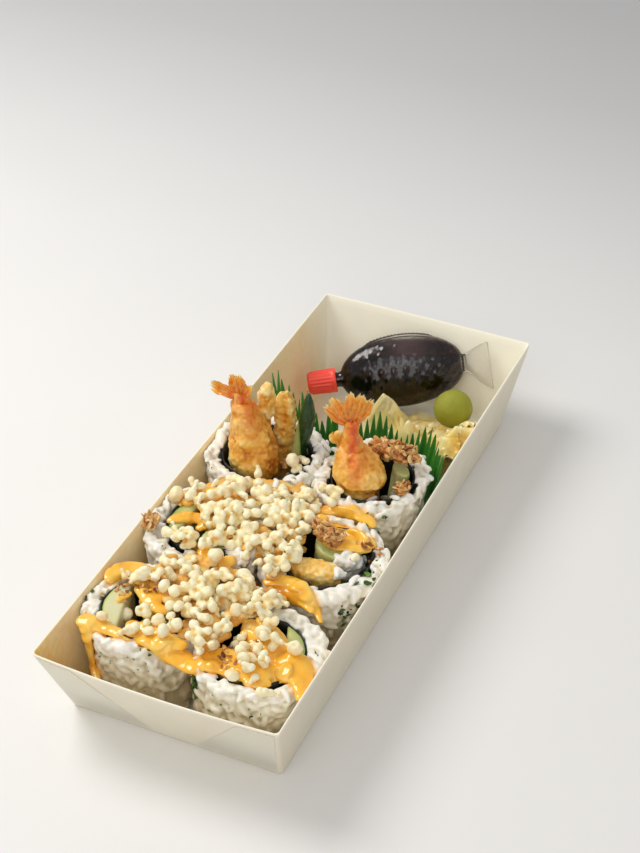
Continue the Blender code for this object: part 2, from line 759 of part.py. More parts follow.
def crunch_balls(blobs, under, core, seed):
    """Fried batter drops over the heap, spread evenly and clear of what is below."""
    chance = random.Random(seed)
    tree = BVHTree.FromBMesh(core)
    placed = []
    for _ in range(CRUNCH_COUNT * 30):
        if len(placed) == CRUNCH_COUNT:
            break
        cx, cy, rx, ry = chance.choice(blobs)
        x, y = chance.uniform(cx - rx, cx + rx), chance.uniform(cy - ry, cy + ry)
        radius = mix(CRUNCH_SMALLEST, CRUNCH_LARGEST, chance.random() ** 1.6)
        hit = tree.ray_cast(Vector((x, y, 200)), Vector((0, 0, -1)))[0]
        if hit is None:
            continue
        if any(math.hypot(x - ox, y - oy) < 0.8 * (radius + size) for ox, oy, _, size in placed):
            continue
        clear = highest_around(under, x, y, radius + 0.6, CRUNCH_LOWEST) + CRUNCH_CLEAR
        placed.append((x, y, max(hit.z + 0.45 * radius, clear + radius), radius))
    pieces = []
    for x, y, z, radius in placed:
        ball = bmesh.new()
        bmesh.ops.create_icosphere(ball, subdivisions=1, radius=radius)
        spin = Matrix.Rotation(chance.uniform(0, math.tau), 3, Vector((chance.random(), 0.4, 0.7)))
        for vert in ball.verts:
            vert.co = spin @ vert.co * chance.uniform(0.98, 1.06) + Vector((x, y, z))
        pieces.append(ball)
    return pieces


def build_crunch(collection):
    heaps = {
        "crunch_front": ([(-17, -82, 18, 17), (4, -76, 20, 14), (20, -92, 17, 15), (2, -98, 14, 8)], 41),
        "crunch_middle": ([(-26, -38, 17, 15), (-10, -30, 18, 15), (8, -30, 15, 13), (4, -50, 14, 9)], 42),
    }
    for name, (blobs, seed) in heaps.items():
        below = [obj for obj in collection.objects if obj.name != "tray"]
        under = top_finder(below)
        core = heap_core(blobs, under)
        balls = crunch_balls(blobs, under, core, seed)
        fused(name, core, balls, "crunch", collection)


# Leaf divider


def leaf_tip(run, peaks):
    """How high the fringe reaches; each peak is (run, height, slope before it, slope after it)."""
    return max(height - (before if run < place else after) * abs(run - place)
               for place, height, before, after in peaks)


def build_leaf(name, route, peaks, collection, thick=0.5, lowest=26.0):
    """A thin green strip with a fringe of spikes; its route gives foot and head points."""
    path = smooth_path(route, 5)
    bm = bmesh.new()
    columns = []
    run = 0.0
    for i, (foot_x, foot_y, head_x, head_y) in enumerate(path):
        before, after = path[max(i - 1, 0)], path[min(i + 1, len(path) - 1)]
        way = Vector((after[2] - before[2], after[3] - before[3]))
        side = Vector((-way.y, way.x)).normalized() * thick / 2
        if i:
            run += math.hypot(head_x - path[i - 1][2], head_y - path[i - 1][3])
        tip = max(leaf_tip(run, peaks), lowest)
        valley = tip - LEAF_NOTCH
        top = valley if i % 2 else tip
        heights = (FLOOR, valley * 0.8, top)
        column = []
        for z in heights:
            share = z / LEAF_HEAD
            x, y = mix(foot_x, head_x, share), mix(foot_y, head_y, share)
            narrow = 0.5 if z == top and i % 2 == 0 else 1.0
            column.append((
                bm.verts.new((x + side.x * narrow, y + side.y * narrow, z)),
                bm.verts.new((x - side.x * narrow, y - side.y * narrow, z)),
            ))
        columns.append(column)
    for left, right in zip(columns, columns[1:]):
        for k in range(len(left) - 1):
            for face in (0, 1):
                quad = (left[k][face], right[k][face], right[k + 1][face], left[k + 1][face])
                bm.faces.new((quad[0], quad[1], quad[2]))
                bm.faces.new((quad[0], quad[2], quad[3]))
        for k in (0, -1):
            bm.faces.new((left[k][0], right[k][0], right[k][1], left[k][1]))
    for column in (columns[0], columns[-1]):
        for k in range(len(column) - 1):
            bm.faces.new((column[k][0], column[k + 1][0], column[k + 1][1], column[k][1]))
    return add_solid(name, bm, "leaf", collection, smooth=False)


def build_leaves(collection):
    build_leaf("leaf_left",
               [(-38.5, 46.5, -43.5, 49.0), (-31, 42.5, -34.5, 47.0), (-22, 39.5, -24.5, 43.5),
                (-13, 38.0, -14.5, 41.0), (-4, 37.5, -4.5, 40.5)],
               ((9.6, 49.5, 2.4, 0.95), (24.7, 47.5, 2.6, 1.6), (38.0, 46.5, 2.5, 3.0)), collection)
    build_leaf("leaf_right",
               [(-1, 38.5, -1.5, 42.5), (8, 40.5, 8.5, 46.0), (20, 41.0, 22.0, 46.5),
                (30, 39.0, 33.5, 44.0), (36.4, 32.0, 41.6, 35.5), (39.6, 23.0, 45.0, 24.5),
                (40.0, 13.0, 45.6, 13.0)],
               ((13.4, 42.5, 0.9, 1.05), (34.7, 42.5, 0.9, 0.6), (53.0, 41.5, 0.8, 1.0)), collection)


# Pickled ginger and wasabi


def tent(x, y):
    """A fold that stands up to a point, long towards +X."""
    reach = TENT_REACH[0] if x > TENT_PEAK[0] else TENT_REACH[1]
    away = math.hypot((x - TENT_PEAK[0]) / reach, (y - TENT_PEAK[1]) / TENT_REACH[2])
    return TENT_HEIGHT * max(1 - away, 0) ** 1.1


def ginger_height(x, y, layer):
    """The crumpled surface of a slice; each layer adds a fold to those below it."""
    ripple = 0.9 * math.sin(0.42 * x + 0.3 * y) * math.cos(0.36 * y - 0.2 * x)
    height = 2.4 + ripple + 3.0 * ease((x - 24) / 18) + layer * GINGER_STEP
    if layer >= 1:
        height += tent(x, y)
    if layer >= 2:
        height += 15.0 * ease((x - 22) / 18) * math.exp(-(((y - 66) / 18) ** 2))
    if layer >= 3:
        height += 8.0 * math.exp(-(((x - 21) / 13) ** 2) - (((y - 59) / 8) ** 2))
    return height


def build_ginger(name, centre, radii, turn, layer, collection, rings=4, around=12):
    """A thin crumpled slice with a wavy edge."""
    bm = bmesh.new()
    turned = math.radians(turn)
    sheets = []
    for top in (0, 1):
        sheet = []
        for ring in range(rings + 1):
            row = []
            for i in range(around if ring else 1):
                angle = math.tau * i / around
                wave = 1 + 0.09 * math.sin(4 * angle + layer) * ring / rings
                along = radii[0] * wave * ring / rings * math.cos(angle)
                across = radii[1] * wave * ring / rings * math.sin(angle)
                x = centre[0] + along * math.cos(turned) - across * math.sin(turned)
                y = max(centre[1] + along * math.sin(turned) + across * math.cos(turned),
                        GINGER_NEAREST)
                z = ginger_height(x, y, layer)
                x = min(x, inner_wall(z) - 0.7)
                row.append(bm.verts.new((x, y, z + top * GINGER_THICKNESS)))
            sheet.append(row)
        sheets.append(sheet)
    for sheet in sheets:
        centre_vert, first = sheet[0][0], sheet[1]
        for i in range(around):
            bm.faces.new((centre_vert, first[i], first[(i + 1) % around]))
        for inner, outer in zip(sheet[1:], sheet[2:]):
            for i in range(around):
                after = (i + 1) % around
                bm.faces.new((inner[i], outer[i], outer[after]))
                bm.faces.new((inner[i], outer[after], inner[after]))
    low, high = sheets[0][-1], sheets[1][-1]
    for i in range(around):
        after = (i + 1) % around
        bm.faces.new((low[i], low[after], high[after], high[i]))
    return add_solid(name, bm, "ginger", collection)


def build_ginger_heap(collection):
    build_ginger("ginger_slice_1", (13, 79), (27, 23), 10, 0, collection)
    build_ginger("ginger_slice_2", (9, 67), (20, 13), -15, 1, collection)
    build_ginger("ginger_slice_3", (32, 68), (17, 13), 70, 2, collection)
    build_ginger("ginger_slice_4", (25, 59), (17, 8), -12, 3, collection)


def build_wasabi(collection):
    bm = bmesh.new()
    bmesh.ops.create_icosphere(bm, subdivisions=2, radius=1.0)
    for vert in bm.verts:
        way = vert.co.normalized()
        dent = 1 + 0.035 * noise.noise(way * 1.7)
        vert.co = Vector((way.x, way.y, way.z * 0.93)) * WASABI_RADIUS * dent + WASABI_CENTRE
    return add_solid("wasabi", bm, "wasabi", collection)


# Soy sauce fish


def fish_axes():
    along = Vector((
        math.cos(FISH_YAW) * math.cos(FISH_RISE),
        math.sin(FISH_YAW) * math.cos(FISH_RISE),
        math.sin(FISH_RISE),
    ))
    level = Vector((-math.sin(FISH_YAW), math.cos(FISH_YAW), 0))
    back = level * math.cos(FISH_LEAN) + Vector((0, 0, 1)) * math.sin(FISH_LEAN)
    back = (back - along * back.dot(along)).normalized()
    return along, back, along.cross(back)


def fish_ring(place, half_width, half_thick, bend=0.0, count=10):
    along, back, out = fish_axes()
    tail_way = Vector((math.cos(math.radians(9)), math.sin(math.radians(9)), 0.06))
    centre = FISH_CENTRE + along * place + tail_way * bend
    ring = []
    for i in range(count):
        angle = math.tau * i / count
        ring.append(centre + back * half_width * math.cos(angle) + out * half_thick * math.sin(angle))
    return ring


def fish_profile(inset):
    """Rings along the body, from the nozzle to the tail's root."""
    rings = []
    half = FISH_LENGTH / 2
    for share in (-0.985, -0.93, -0.8, -0.55, -0.2, 0.2, 0.55, 0.8, 0.93):
        bulge = math.sqrt(1 - share * share) ** 0.92
        wide = max(FISH_WIDTH / 2 * bulge, NOZZLE_RADIUS + 0.3)
        thick = max(FISH_THICKNESS / 2 * bulge, NOZZLE_RADIUS + 0.2)
        rings.append(fish_ring(half * share, wide - inset, thick - inset))
    return rings


def build_fish(collection):
    half = FISH_LENGTH / 2
    mouth = -half - NOZZLE_LENGTH
    bore = NOZZLE_RADIUS - FISH_WALL
    outside = [fish_ring(mouth, NOZZLE_RADIUS, NOZZLE_RADIUS), *fish_profile(0.0)]
    tail = ((0.96, 3.6, 1.9, 0.0), (0.96, 5.2, 1.1, 3.5), (0.96, 8.4, 0.8, 8.0), (0.96, 10.6, 0.7, 13.0))
    outside += [fish_ring(half * share, wide, thick, bend) for share, wide, thick, bend in tail]
    inside = [fish_ring(mouth, bore, bore), *fish_profile(FISH_WALL)]
    bm = bmesh.new()
    rows = [[bm.verts.new(point) for point in ring] for ring in reversed(outside)]
    rows += [[bm.verts.new(point) for point in ring] for ring in inside]
    for lower, upper in zip(rows, rows[1:]):
        for i in range(len(lower)):
            after = (i + 1) % len(lower)
            bm.faces.new((lower[i], lower[after], upper[after], upper[i]))
    bm.faces.new(rows[0])
    bm.faces.new(rows[-1])
    add_solid("soy_fish_bottle", bm, "clear_plastic", collection)

    soy = loft([fish_ring(mouth + 4, bore - GAP, bore - GAP), *fish_profile(FISH_WALL + GAP)])
    cut = bmesh.ops.bisect_plane(soy, geom=soy.verts[:] + soy.edges[:] + soy.faces[:],
                                 plane_co=(0, 0, SOY_LEVEL), plane_no=(0, 0, 1), clear_outer=True)
    edges = [item for item in cut["geom_cut"] if isinstance(item, bmesh.types.BMEdge)]
    bmesh.ops.contextual_create(soy, geom=edges)
    add_solid("soy_sauce", soy, "soy_sauce", collection)

    hollow = NOZZLE_RADIUS + GAP
    front = mouth - 5.5
    cap = [
        fish_ring(mouth - 0.6, hollow, hollow),
        fish_ring(front + CAP_LENGTH, hollow, hollow),
        fish_ring(front + CAP_LENGTH, CAP_RADIUS, CAP_RADIUS),
        fish_ring(front + 1.0, CAP_RADIUS * 0.94, CAP_RADIUS * 0.94),
        fish_ring(front, CAP_RADIUS * 0.82, CAP_RADIUS * 0.82),
    ]
    add_solid("soy_fish_cap", loft(cap), "red_plastic", collection)


def main():
    clear_scene()
    collection = new_collection("takeaway sushi tray")
    build_tray(collection)
    for name, roll in ROLLS.items():
        build_rice(name, roll, collection, mound=RICE_MOUNDS.get(name))
        build_seaweed(name, roll, collection)
    build_fillings(collection)
    build_prawns(collection)
    build_mayonnaise(collection)
    build_crunch(collection)
    build_flakes(collection)
    build_leaves(collection)
    build_ginger_heap(collection)
    build_wasabi(collection)
    build_fish(collection)


main()
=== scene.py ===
"""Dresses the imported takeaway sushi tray: board, rice, seaweed, fillings, crunch, sauce and the rest.

Lengths in this file are millimetres and become metres where a mesh is made. +Z is up, +Y runs along
the tray to the soy bottle, and the origin is the centre of the tray's underside.
"""

import math
import random

import bmesh
import bpy
import numpy as np
from mathutils import Matrix, Vector
from mathutils.bvhtree import BVHTree


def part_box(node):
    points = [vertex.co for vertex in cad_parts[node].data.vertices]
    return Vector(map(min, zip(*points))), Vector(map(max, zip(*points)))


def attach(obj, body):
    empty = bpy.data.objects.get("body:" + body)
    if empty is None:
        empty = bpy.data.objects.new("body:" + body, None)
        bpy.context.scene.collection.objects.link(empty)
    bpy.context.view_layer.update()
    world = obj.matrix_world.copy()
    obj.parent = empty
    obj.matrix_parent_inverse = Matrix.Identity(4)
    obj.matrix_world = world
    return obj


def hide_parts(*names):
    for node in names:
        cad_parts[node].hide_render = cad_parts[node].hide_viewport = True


METRES = 0.001
TAU = math.tau

# Tray
TRAY_WIDTH = 96.0
TRAY_LENGTH = 255.0
TRAY_HEIGHT = 35.5
SIDE_LEAN = 6.1
END_LEAN = 14.7
END_BOW = 1.3
BOARD = 0.8
FLOOR = 1.1

# Rolls: the bore's centre at the top and at the base, the roll's height and the bore's radius
BASE_SCALE = 0.89
BORES = {
    "front_left": ((-23.0, -88.0), (-20.6, -89.4), 34.0, 17.3),
    "front_right": ((21.8, -90.0), (19.8, -90.9), 32.0, 18.0),
    "middle_left": ((-23.0, -37.5), (-20.3, -39.2), 35.0, 17.0),
    "middle_right": ((23.7, -34.8), (20.8, -36.9), 34.0, 17.8),
    "back_left": ((-22.4, 12.0), (-19.9, 10.6), 35.0, 18.4),
    "back_right": ((22.0, 14.2), (19.6, 12.4), 36.0, 16.9),
}
GRAINS_PER_ROLL = 620
LOOSE_GRAINS = 70
GRAIN_LENGTH = 5.9
GRAIN_WIDTH = 2.5

# Size of the cells in which small forms grow together
RICE_VOXEL = 0.54
SAUCE_VOXEL = 0.42
PEARL_VOXEL = 0.47
BED_VOXEL = 0.6

# Photo camera
CAMERA_PLACE = (239.96, -532.10, 496.79)
CAMERA_RIGHT = (0.91317, 0.40753, 0.00652)
CAMERA_UP = (-0.24808, 0.54304, 0.80222)
CAMERA_FORWARD = (-0.32338, 0.73418, -0.59699)
CAMERA_LENS = 80.81
CAMERA_SENSOR = 36.0
PHOTO_WIDTH, PHOTO_HEIGHT = 640, 853

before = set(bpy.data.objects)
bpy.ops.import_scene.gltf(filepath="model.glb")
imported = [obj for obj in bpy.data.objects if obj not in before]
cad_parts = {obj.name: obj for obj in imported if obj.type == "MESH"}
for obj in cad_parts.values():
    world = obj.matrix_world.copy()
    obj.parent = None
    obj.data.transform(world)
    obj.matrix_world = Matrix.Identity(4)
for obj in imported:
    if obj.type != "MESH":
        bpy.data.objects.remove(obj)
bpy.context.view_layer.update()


# Numbers


def mix(first, second, share):
    return first + (second - first) * share


def ease(value):
    value = np.clip(value, 0.0, 1.0)
    return value * value * (3.0 - 2.0 * value)


def lattice_noise(points, cell, seed=0):
    """Smooth noise from -1 to 1 at an array of points, with features of the cell's size."""
    scaled = np.asarray(points, float) / cell + 19.7 * seed
    base = np.floor(scaled).astype(np.int64)
    part = ease(scaled - base)
    total = np.zeros(len(scaled))
    for i in (0, 1):
        for j in (0, 1):
            for k in (0, 1):
                spot = base + (i, j, k)
                mixed = spot[:, 0] * 374761393 + spot[:, 1] * 668265263 + spot[:, 2] * 1274126177
                mixed = (mixed ^ (mixed >> 13)) * 1103515245
                mixed = (mixed ^ (mixed >> 16)) & 0xFFFFFF
                weight = np.ones(len(scaled))
                for axis, high in enumerate((i, j, k)):
                    weight *= part[:, axis] if high else 1 - part[:, axis]
                total += weight * (mixed / 0x7FFFFF - 1.0)
    return total


def smooth_path(points, steps):
    """Catmull-Rom points through a list of tuples."""
    padded = [points[0], *points, points[-1]]
    path = []
    for first, second, third, fourth in zip(padded, padded[1:], padded[2:], padded[3:]):
        for i in range(steps):
            t = i / steps
            path.append(tuple(
                0.5 * (2 * b + (c - a) * t + (2 * a - 5 * b + 4 * c - d) * t * t
                       + (3 * b - a - 3 * c + d) * t * t * t)
                for a, b, c, d in zip(first, second, third, fourth)
            ))
    path.append(tuple(points[-1]))
    return path


def pixel_way(px, py):
    """The direction in which the photo's camera sees a pixel."""
    focal = CAMERA_LENS / CAMERA_SENSOR * PHOTO_HEIGHT
    right = Vector(CAMERA_RIGHT) * ((px - PHOTO_WIDTH / 2) / focal)
    up = Vector(CAMERA_UP) * ((py - PHOTO_HEIGHT / 2) / focal)
    return Vector(CAMERA_FORWARD) + right - up


def inside_outline(outline, x, y):
    """Whether a point lies inside a closed outline."""
    inside = False
    for (ax, ay), (bx, by) in zip(outline, outline[1:] + outline[:1]):
        if (ay > y) != (by > y) and x < mix(ax, bx, (y - ay) / (by - ay)):
            inside = not inside
    return inside


def inner_wall(z):
    """Half the tray's inside width at a height."""
    return TRAY_WIDTH / 2 - SIDE_LEAN * (1 - z / TRAY_HEIGHT) - BOARD


def keep_inside(points, margin):
    """Moves what stands past the side walls back to a margin from them."""
    wall = inner_wall(points[:, 2]) - margin
    points[:, 0] = np.clip(points[:, 0], -wall, wall)


# Materials


def colour(red, green, blue):
    """A screen colour as the shader's linear one."""
    linear = []
    for part in (red, green, blue):
        part = part / 255
        linear.append(part / 12.92 if part <= 0.04045 else ((part + 0.055) / 1.055) ** 2.4)
    return (*linear, 1.0)


def add_node(tree, kind, inputs=None, **settings):
    made = tree.nodes.new(kind)
    for key, value in settings.items():
        setattr(made, key, value)
    for key, value in (inputs or {}).items():
        if isinstance(value, bpy.types.NodeSocket):
            tree.links.new(value, made.inputs[key])
        else:
            made.inputs[key].default_value = value
    return made


def noise_value(tree, size, detail=3.0):
    """Noise from 0 to 1 with features of a size in millimetres."""
    place = add_node(tree, "ShaderNodeTexCoord").outputs["Object"]
    return add_node(tree, "ShaderNodeTexNoise", {
        "Vector": place, "Scale": 1 / (size * METRES), "Detail": detail}).outputs[0]


def ramp(tree, value, stops):
    made = add_node(tree, "ShaderNodeValToRGB", {"Fac": value})
    points = made.color_ramp.elements
    while len(points) < len(stops):
        points.new(0.5)
    for point, (place, shade) in zip(points, stops):
        point.position = place
        point.color = colour(*shade)
    return made.outputs["Color"]


def math_node(tree, operation, first, second):
    return add_node(tree, "ShaderNodeMath", {0: first, 1: second}, operation=operation).outputs[0]


def toned(tree, mottle, wobble):
    """The mesh's tone, moved up and down a little by noise."""
    tone = add_node(tree, "ShaderNodeAttribute", attribute_name="tone").outputs["Fac"]
    drift = math_node(tree, "MULTIPLY_ADD", noise_value(tree, mottle), wobble)
    drift.node.inputs[2].default_value = -wobble / 2
    return math_node(tree, "ADD", tone, drift)


def stained_and_shaded(tree, plain, stain_and_shade):
    """A colour mixed towards a second one by the mesh's blush, in patches."""
    blush = add_node(tree, "ShaderNodeAttribute", attribute_name="blush").outputs["Fac"]
    patchy = add_node(tree, "ShaderNodeMapRange", {
        "Value": noise_value(tree, 2.4), "From Min": 0.3, "From Max": 0.6, "To Min": 0.72, "To Max": 1.2})
    share = math_node(tree, "MULTIPLY", blush, patchy.outputs["Result"])
    share.node.use_clamp = True
    made = add_node(tree, "ShaderNodeMix", data_type="RGBA")
    colours = [socket for socket in made.inputs if socket.type == "RGBA"]
    tree.links.new(share, made.inputs["Factor"])
    tree.links.new(plain, colours[0])
    colours[1].default_value = colour(*stain_and_shade)
    return [socket for socket in made.outputs if socket.type == "RGBA"][0]


def food(name, stops, mottle=3.0, wobble=0.3, rough=(0.4, 0.6), bumps=(), subsurface=0.0,
         depth=1.5, coat=0.0, transmission=0.0, specular=0.5, stain_and_shade=None):
    """A surface coloured along a ramp by the mesh's tone, tinted where the mesh has a blush: a real stain on
    most surfaces, painted shade and a painted reflection on the board, painted shade in the crunch's
    creases.

    Its fine relief is given as (size, height) pairs.
    """
    made = bpy.data.materials.new(name)
    made.use_nodes = True
    tree = made.node_tree
    shader = tree.nodes["Principled BSDF"]
    shade = ramp(tree, toned(tree, mottle, wobble), stops)
    if stain_and_shade:
        shade = stained_and_shaded(tree, shade, stain_and_shade)
    tree.links.new(shade, shader.inputs["Base Color"])
    spread = add_node(tree, "ShaderNodeMapRange", {
        "Value": noise_value(tree, mottle * 0.7), "From Min": 0.3, "From Max": 0.7,
        "To Min": rough[0], "To Max": rough[1]})
    tree.links.new(spread.outputs["Result"], shader.inputs["Roughness"])
    relief = None
    for size, height in bumps:
        inputs = {"Height": noise_value(tree, size), "Distance": height * METRES, "Strength": 1.0}
        if relief:
            inputs["Normal"] = relief
        relief = add_node(tree, "ShaderNodeBump", inputs).outputs["Normal"]
    if relief:
        tree.links.new(relief, shader.inputs["Normal"])
    for key, value in (("Subsurface Weight", subsurface), ("Subsurface Radius", (1.0, 0.75, 0.5)),
                       ("Subsurface Scale", depth * METRES), ("Coat Weight", coat),
                       ("Coat Roughness", 0.12), ("Transmission Weight", transmission),
                       ("Specular IOR Level", specular)):
        shader.inputs[key].default_value = value
    return made


# Each surface: its colours from low tone to high, then its look
FOODS = {
    # Rice: its low, warm tones are painted shade, laid in its creases and low down.
    "rice": dict(
        stops=[(0.0, (188, 173, 138)), (0.35, (222, 213, 190)), (0.7, (242, 239, 228)),
               (1.0, (250, 249, 244))],
        mottle=7, wobble=0.2, rough=(0.35, 0.5), bumps=((1.2, 0.05),), subsurface=0.4, depth=1.2,
        specular=0.4, stain_and_shade=(246, 184, 84)),
    "seaweed": dict(
        stops=[(0.0, (8, 10, 8)), (0.6, (20, 25, 18)), (1.0, (44, 54, 34))],
        mottle=1.6, wobble=0.7, rough=(0.3, 0.55), bumps=((0.5, 0.12), (2.0, 0.2))),
    "cucumber": dict(
        stops=[(0.0, (22, 46, 20)), (0.10, (44, 84, 34)), (0.17, (140, 164, 74)),
               (0.4, (202, 204, 134)), (1.0, (222, 220, 174))],
        mottle=2.4, wobble=0.10, rough=(0.15, 0.3), bumps=((0.8, 0.06),), subsurface=0.3, depth=2),
    "avocado": dict(
        stops=[(0.0, (142, 152, 78)), (0.5, (192, 194, 122)), (1.0, (222, 216, 166))],
        mottle=4, wobble=0.6, rough=(0.25, 0.45), bumps=((1.0, 0.1),), subsurface=0.3, depth=2),
    "tempura": dict(
        stops=[(0.0, (136, 68, 14)), (0.2, (200, 118, 32)), (0.42, (232, 164, 58)),
               (0.7, (244, 196, 96)), (1.0, (250, 228, 162))],
        mottle=2.6, wobble=0.42, rough=(0.25, 0.45), bumps=((1.1, 0.24), (0.45, 0.12)),
        subsurface=0.2, depth=1.2, stain_and_shade=(230, 112, 22)),
    "tail": dict(
        stops=[(0.0, (176, 66, 18)), (0.25, (226, 108, 30)), (0.5, (240, 158, 50)),
               (0.8, (246, 190, 88)), (1.0, (252, 226, 168))],
        mottle=1.3, wobble=0.45, rough=(0.2, 0.4), bumps=((0.7, 0.14),), subsurface=0.35, depth=1.2,
        coat=0.3, stain_and_shade=(224, 92, 18)),
    "crunch": dict(
        stops=[(0.0, (138, 78, 30)), (0.14, (206, 150, 68)), (0.32, (230, 206, 136)),
               (0.62, (244, 230, 178)), (1.0, (252, 245, 216))],
        mottle=2.2, wobble=0.14, rough=(0.4, 0.62), bumps=((0.7, 0.05),), subsurface=0.3, depth=1.1,
        stain_and_shade=(244, 186, 84)),
    "flake": dict(
        stops=[(0.0, (112, 54, 20)), (0.25, (182, 108, 48)), (0.55, (220, 162, 88)),
               (1.0, (244, 214, 150))],
        mottle=1.3, wobble=0.5, rough=(0.25, 0.5), bumps=((0.5, 0.12),), subsurface=0.1),
    "mayonnaise": dict(
        stops=[(0.0, (232, 150, 30)), (0.5, (252, 190, 60)), (1.0, (255, 214, 108))],
        mottle=5, wobble=0.5, rough=(0.1, 0.2), bumps=((2.5, 0.12),), subsurface=0.15, depth=1.5,
        coat=0.4),
    "leaf": dict(
        stops=[(0.0, (22, 84, 24)), (0.5, (46, 120, 32)), (1.0, (96, 156, 56))],
        mottle=6, wobble=0.3, rough=(0.35, 0.5), subsurface=0.1, depth=0.6),
    "herb": dict(
        stops=[(0.0, (18, 34, 14)), (0.5, (52, 88, 30)), (1.0, (104, 142, 48))],
        mottle=0.8, wobble=0.3, rough=(0.3, 0.5)),
    "ginger": dict(
        stops=[(0.0, (214, 150, 44)), (0.35, (236, 190, 88)), (0.7, (246, 216, 134)),
               (1.0, (252, 236, 184))],
        mottle=5, wobble=0.3, rough=(0.22, 0.4), bumps=((1.4, 0.12),), subsurface=0.35, depth=2),
    "wasabi": dict(
        stops=[(0.0, (112, 116, 20)), (0.5, (138, 140, 32)), (1.0, (160, 162, 50))],
        mottle=4, wobble=0.5, rough=(0.55, 0.8), bumps=((0.8, 0.08), (2.5, 0.15)), subsurface=0.1),
    "soy_sauce": dict(
        stops=[(0.0, (44, 36, 52)), (0.5, (68, 42, 50)), (0.8, (118, 56, 46)),
               (1.0, (166, 88, 62))],
        mottle=6, wobble=0.1, rough=(0.04, 0.08)),
    "red_plastic": dict(
        stops=[(0.0, (255, 52, 40)), (1.0, (255, 86, 66))],
        mottle=8, wobble=0.2, rough=(0.3, 0.42), subsurface=0.1, depth=1.5),
    "clear_plastic": dict(
        stops=[(0.0, (236, 232, 226)), (1.0, (252, 250, 246))],
        mottle=10, wobble=0.2, rough=(0.1, 0.18), bumps=((3.0, 0.1),), transmission=1.0,
        stain_and_shade=(92, 52, 48)),
    # Board: its blush colour is painted warm shade and a painted reflection of the sauce.
    "board": dict(
        stops=[(0.0, (222, 211, 184)), (0.5, (233, 225, 204)), (0.8, (244, 238, 220)),
               (1.0, (252, 245, 226))],
        mottle=14, wobble=0.3, rough=(0.42, 0.55), bumps=((0.35, 0.03), (9.0, 0.12)),
        subsurface=0.25, depth=1.2, stain_and_shade=(240, 204, 112)),
    "paper_floor": dict(
        stops=[(0.0, (190, 190, 192)), (0.6, (220, 220, 220)), (1.0, (234, 233, 231))],
        mottle=60, wobble=0.02, rough=(0.5, 0.6), bumps=((0.6, 0.02),)),
}
materials = {name: food(name, **look) for name, look in FOODS.items()}


# Meshes


def triangles(faces):
    faces = np.asarray(faces, np.int32)
    if faces.shape[1] == 3:
        return faces
    return np.concatenate([faces[:, [0, 1, 2]], faces[:, [0, 2, 3]]])


def linked(name, data):
    made = bpy.data.objects.new(name, data)
    bpy.context.scene.collection.objects.link(made)
    return made


def set_values(mesh, kind, values):
    """A number for each vertex, which the materials read by its name."""
    spread = np.broadcast_to(np.asarray(values, np.float32), (len(mesh.vertices),))
    mesh.attributes.new(kind, "FLOAT", "POINT").data.foreach_set("value", np.ascontiguousarray(spread))


def plain_mesh(name, points, faces):
    faces = triangles(faces)
    mesh = bpy.data.meshes.new(name)
    mesh.vertices.add(len(points))
    mesh.vertices.foreach_set("co", (np.asarray(points) * METRES).astype(np.float32).ravel())
    mesh.loops.add(faces.size)
    mesh.loops.foreach_set("vertex_index", faces.ravel())
    mesh.polygons.add(len(faces))
    mesh.polygons.foreach_set("loop_start", np.arange(0, faces.size, 3, dtype=np.int32))
    mesh.update(calc_edges=True)
    mesh.validate()
    return mesh


def facing_out(points, faces):
    """The faces of a closed shape, turned over if they face inwards."""
    middle = points.mean(0)
    a, b, c = (points[faces[:, i]] - middle for i in range(3))
    volume = (a * np.cross(b, c)).sum()
    return faces if volume >= 0 else faces[:, ::-1]


def add_piece(name, points, faces, kind, tone=0.5, replaces=(), sharp=None, blush=0.0):
    """A named piece of the object, from arrays in millimetres, in a kind of material."""
    material = materials[kind]
    faces = facing_out(points, triangles(faces))
    mesh = plain_mesh(name, points, faces)
    set_values(mesh, "tone", tone)
    set_values(mesh, "blush", blush)
    mesh.materials.append(material)
    mesh.shade_smooth()
    if sharp:
        mesh.set_sharp_from_angle(angle=math.radians(sharp))
    piece = linked(name, mesh)
    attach(piece, "root")
    if replaces:
        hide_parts(*replaces)
    return piece


def mesh_arrays(mesh):
    mesh.calc_loop_triangles()
    points = np.empty(len(mesh.vertices) * 3, np.float32)
    mesh.vertices.foreach_get("co", points)
    faces = np.empty(len(mesh.loop_triangles) * 3, np.int32)
    mesh.loop_triangles.foreach_get("vertices", faces)
    return points.reshape(-1, 3).astype(float) / METRES, faces.reshape(-1, 3)


def node_arrays(name):
    return mesh_arrays(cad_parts[name].data)


def remeshed(points, faces, voxel, smoothing):
    """One even skin round closed shapes, its facets smoothed away."""
    scratch = linked("scratch", plain_mesh("scratch", points, faces))
    skin = scratch.modifiers.new("skin", "REMESH")
    skin.mode = "VOXEL"
    skin.voxel_size = voxel * METRES
    if smoothing:
        soft = scratch.modifiers.new("soft", "SMOOTH")
        soft.factor = 0.5
        soft.iterations = smoothing
    evaluated = scratch.evaluated_get(bpy.context.evaluated_depsgraph_get())
    made = mesh_arrays(evaluated.to_mesh())
    evaluated.to_mesh_clear()
    old = scratch.data
    bpy.data.objects.remove(scratch)
    bpy.data.meshes.remove(old)
    return made


def face_vectors(points, faces):
    """The triangles' corners, and their normals with a length of twice the area."""
    corners = [points[faces[:, i]] for i in range(3)]
    return corners, np.cross(corners[1] - corners[0], corners[2] - corners[0])


def raised(points, faces, heights):
    """Points moved out of their surface, each by its own height."""
    return points + vertex_normals(points, faces) * heights[:, None]


def vertex_normals(points, faces):
    _, flat = face_vectors(points, faces)
    total = np.zeros_like(points)
    for axis in range(3):
        for i in range(3):
            total[:, axis] += np.bincount(faces[:, i], flat[:, axis], len(points))
    return total / np.maximum(np.linalg.norm(total, axis=1, keepdims=True), 1e-12)


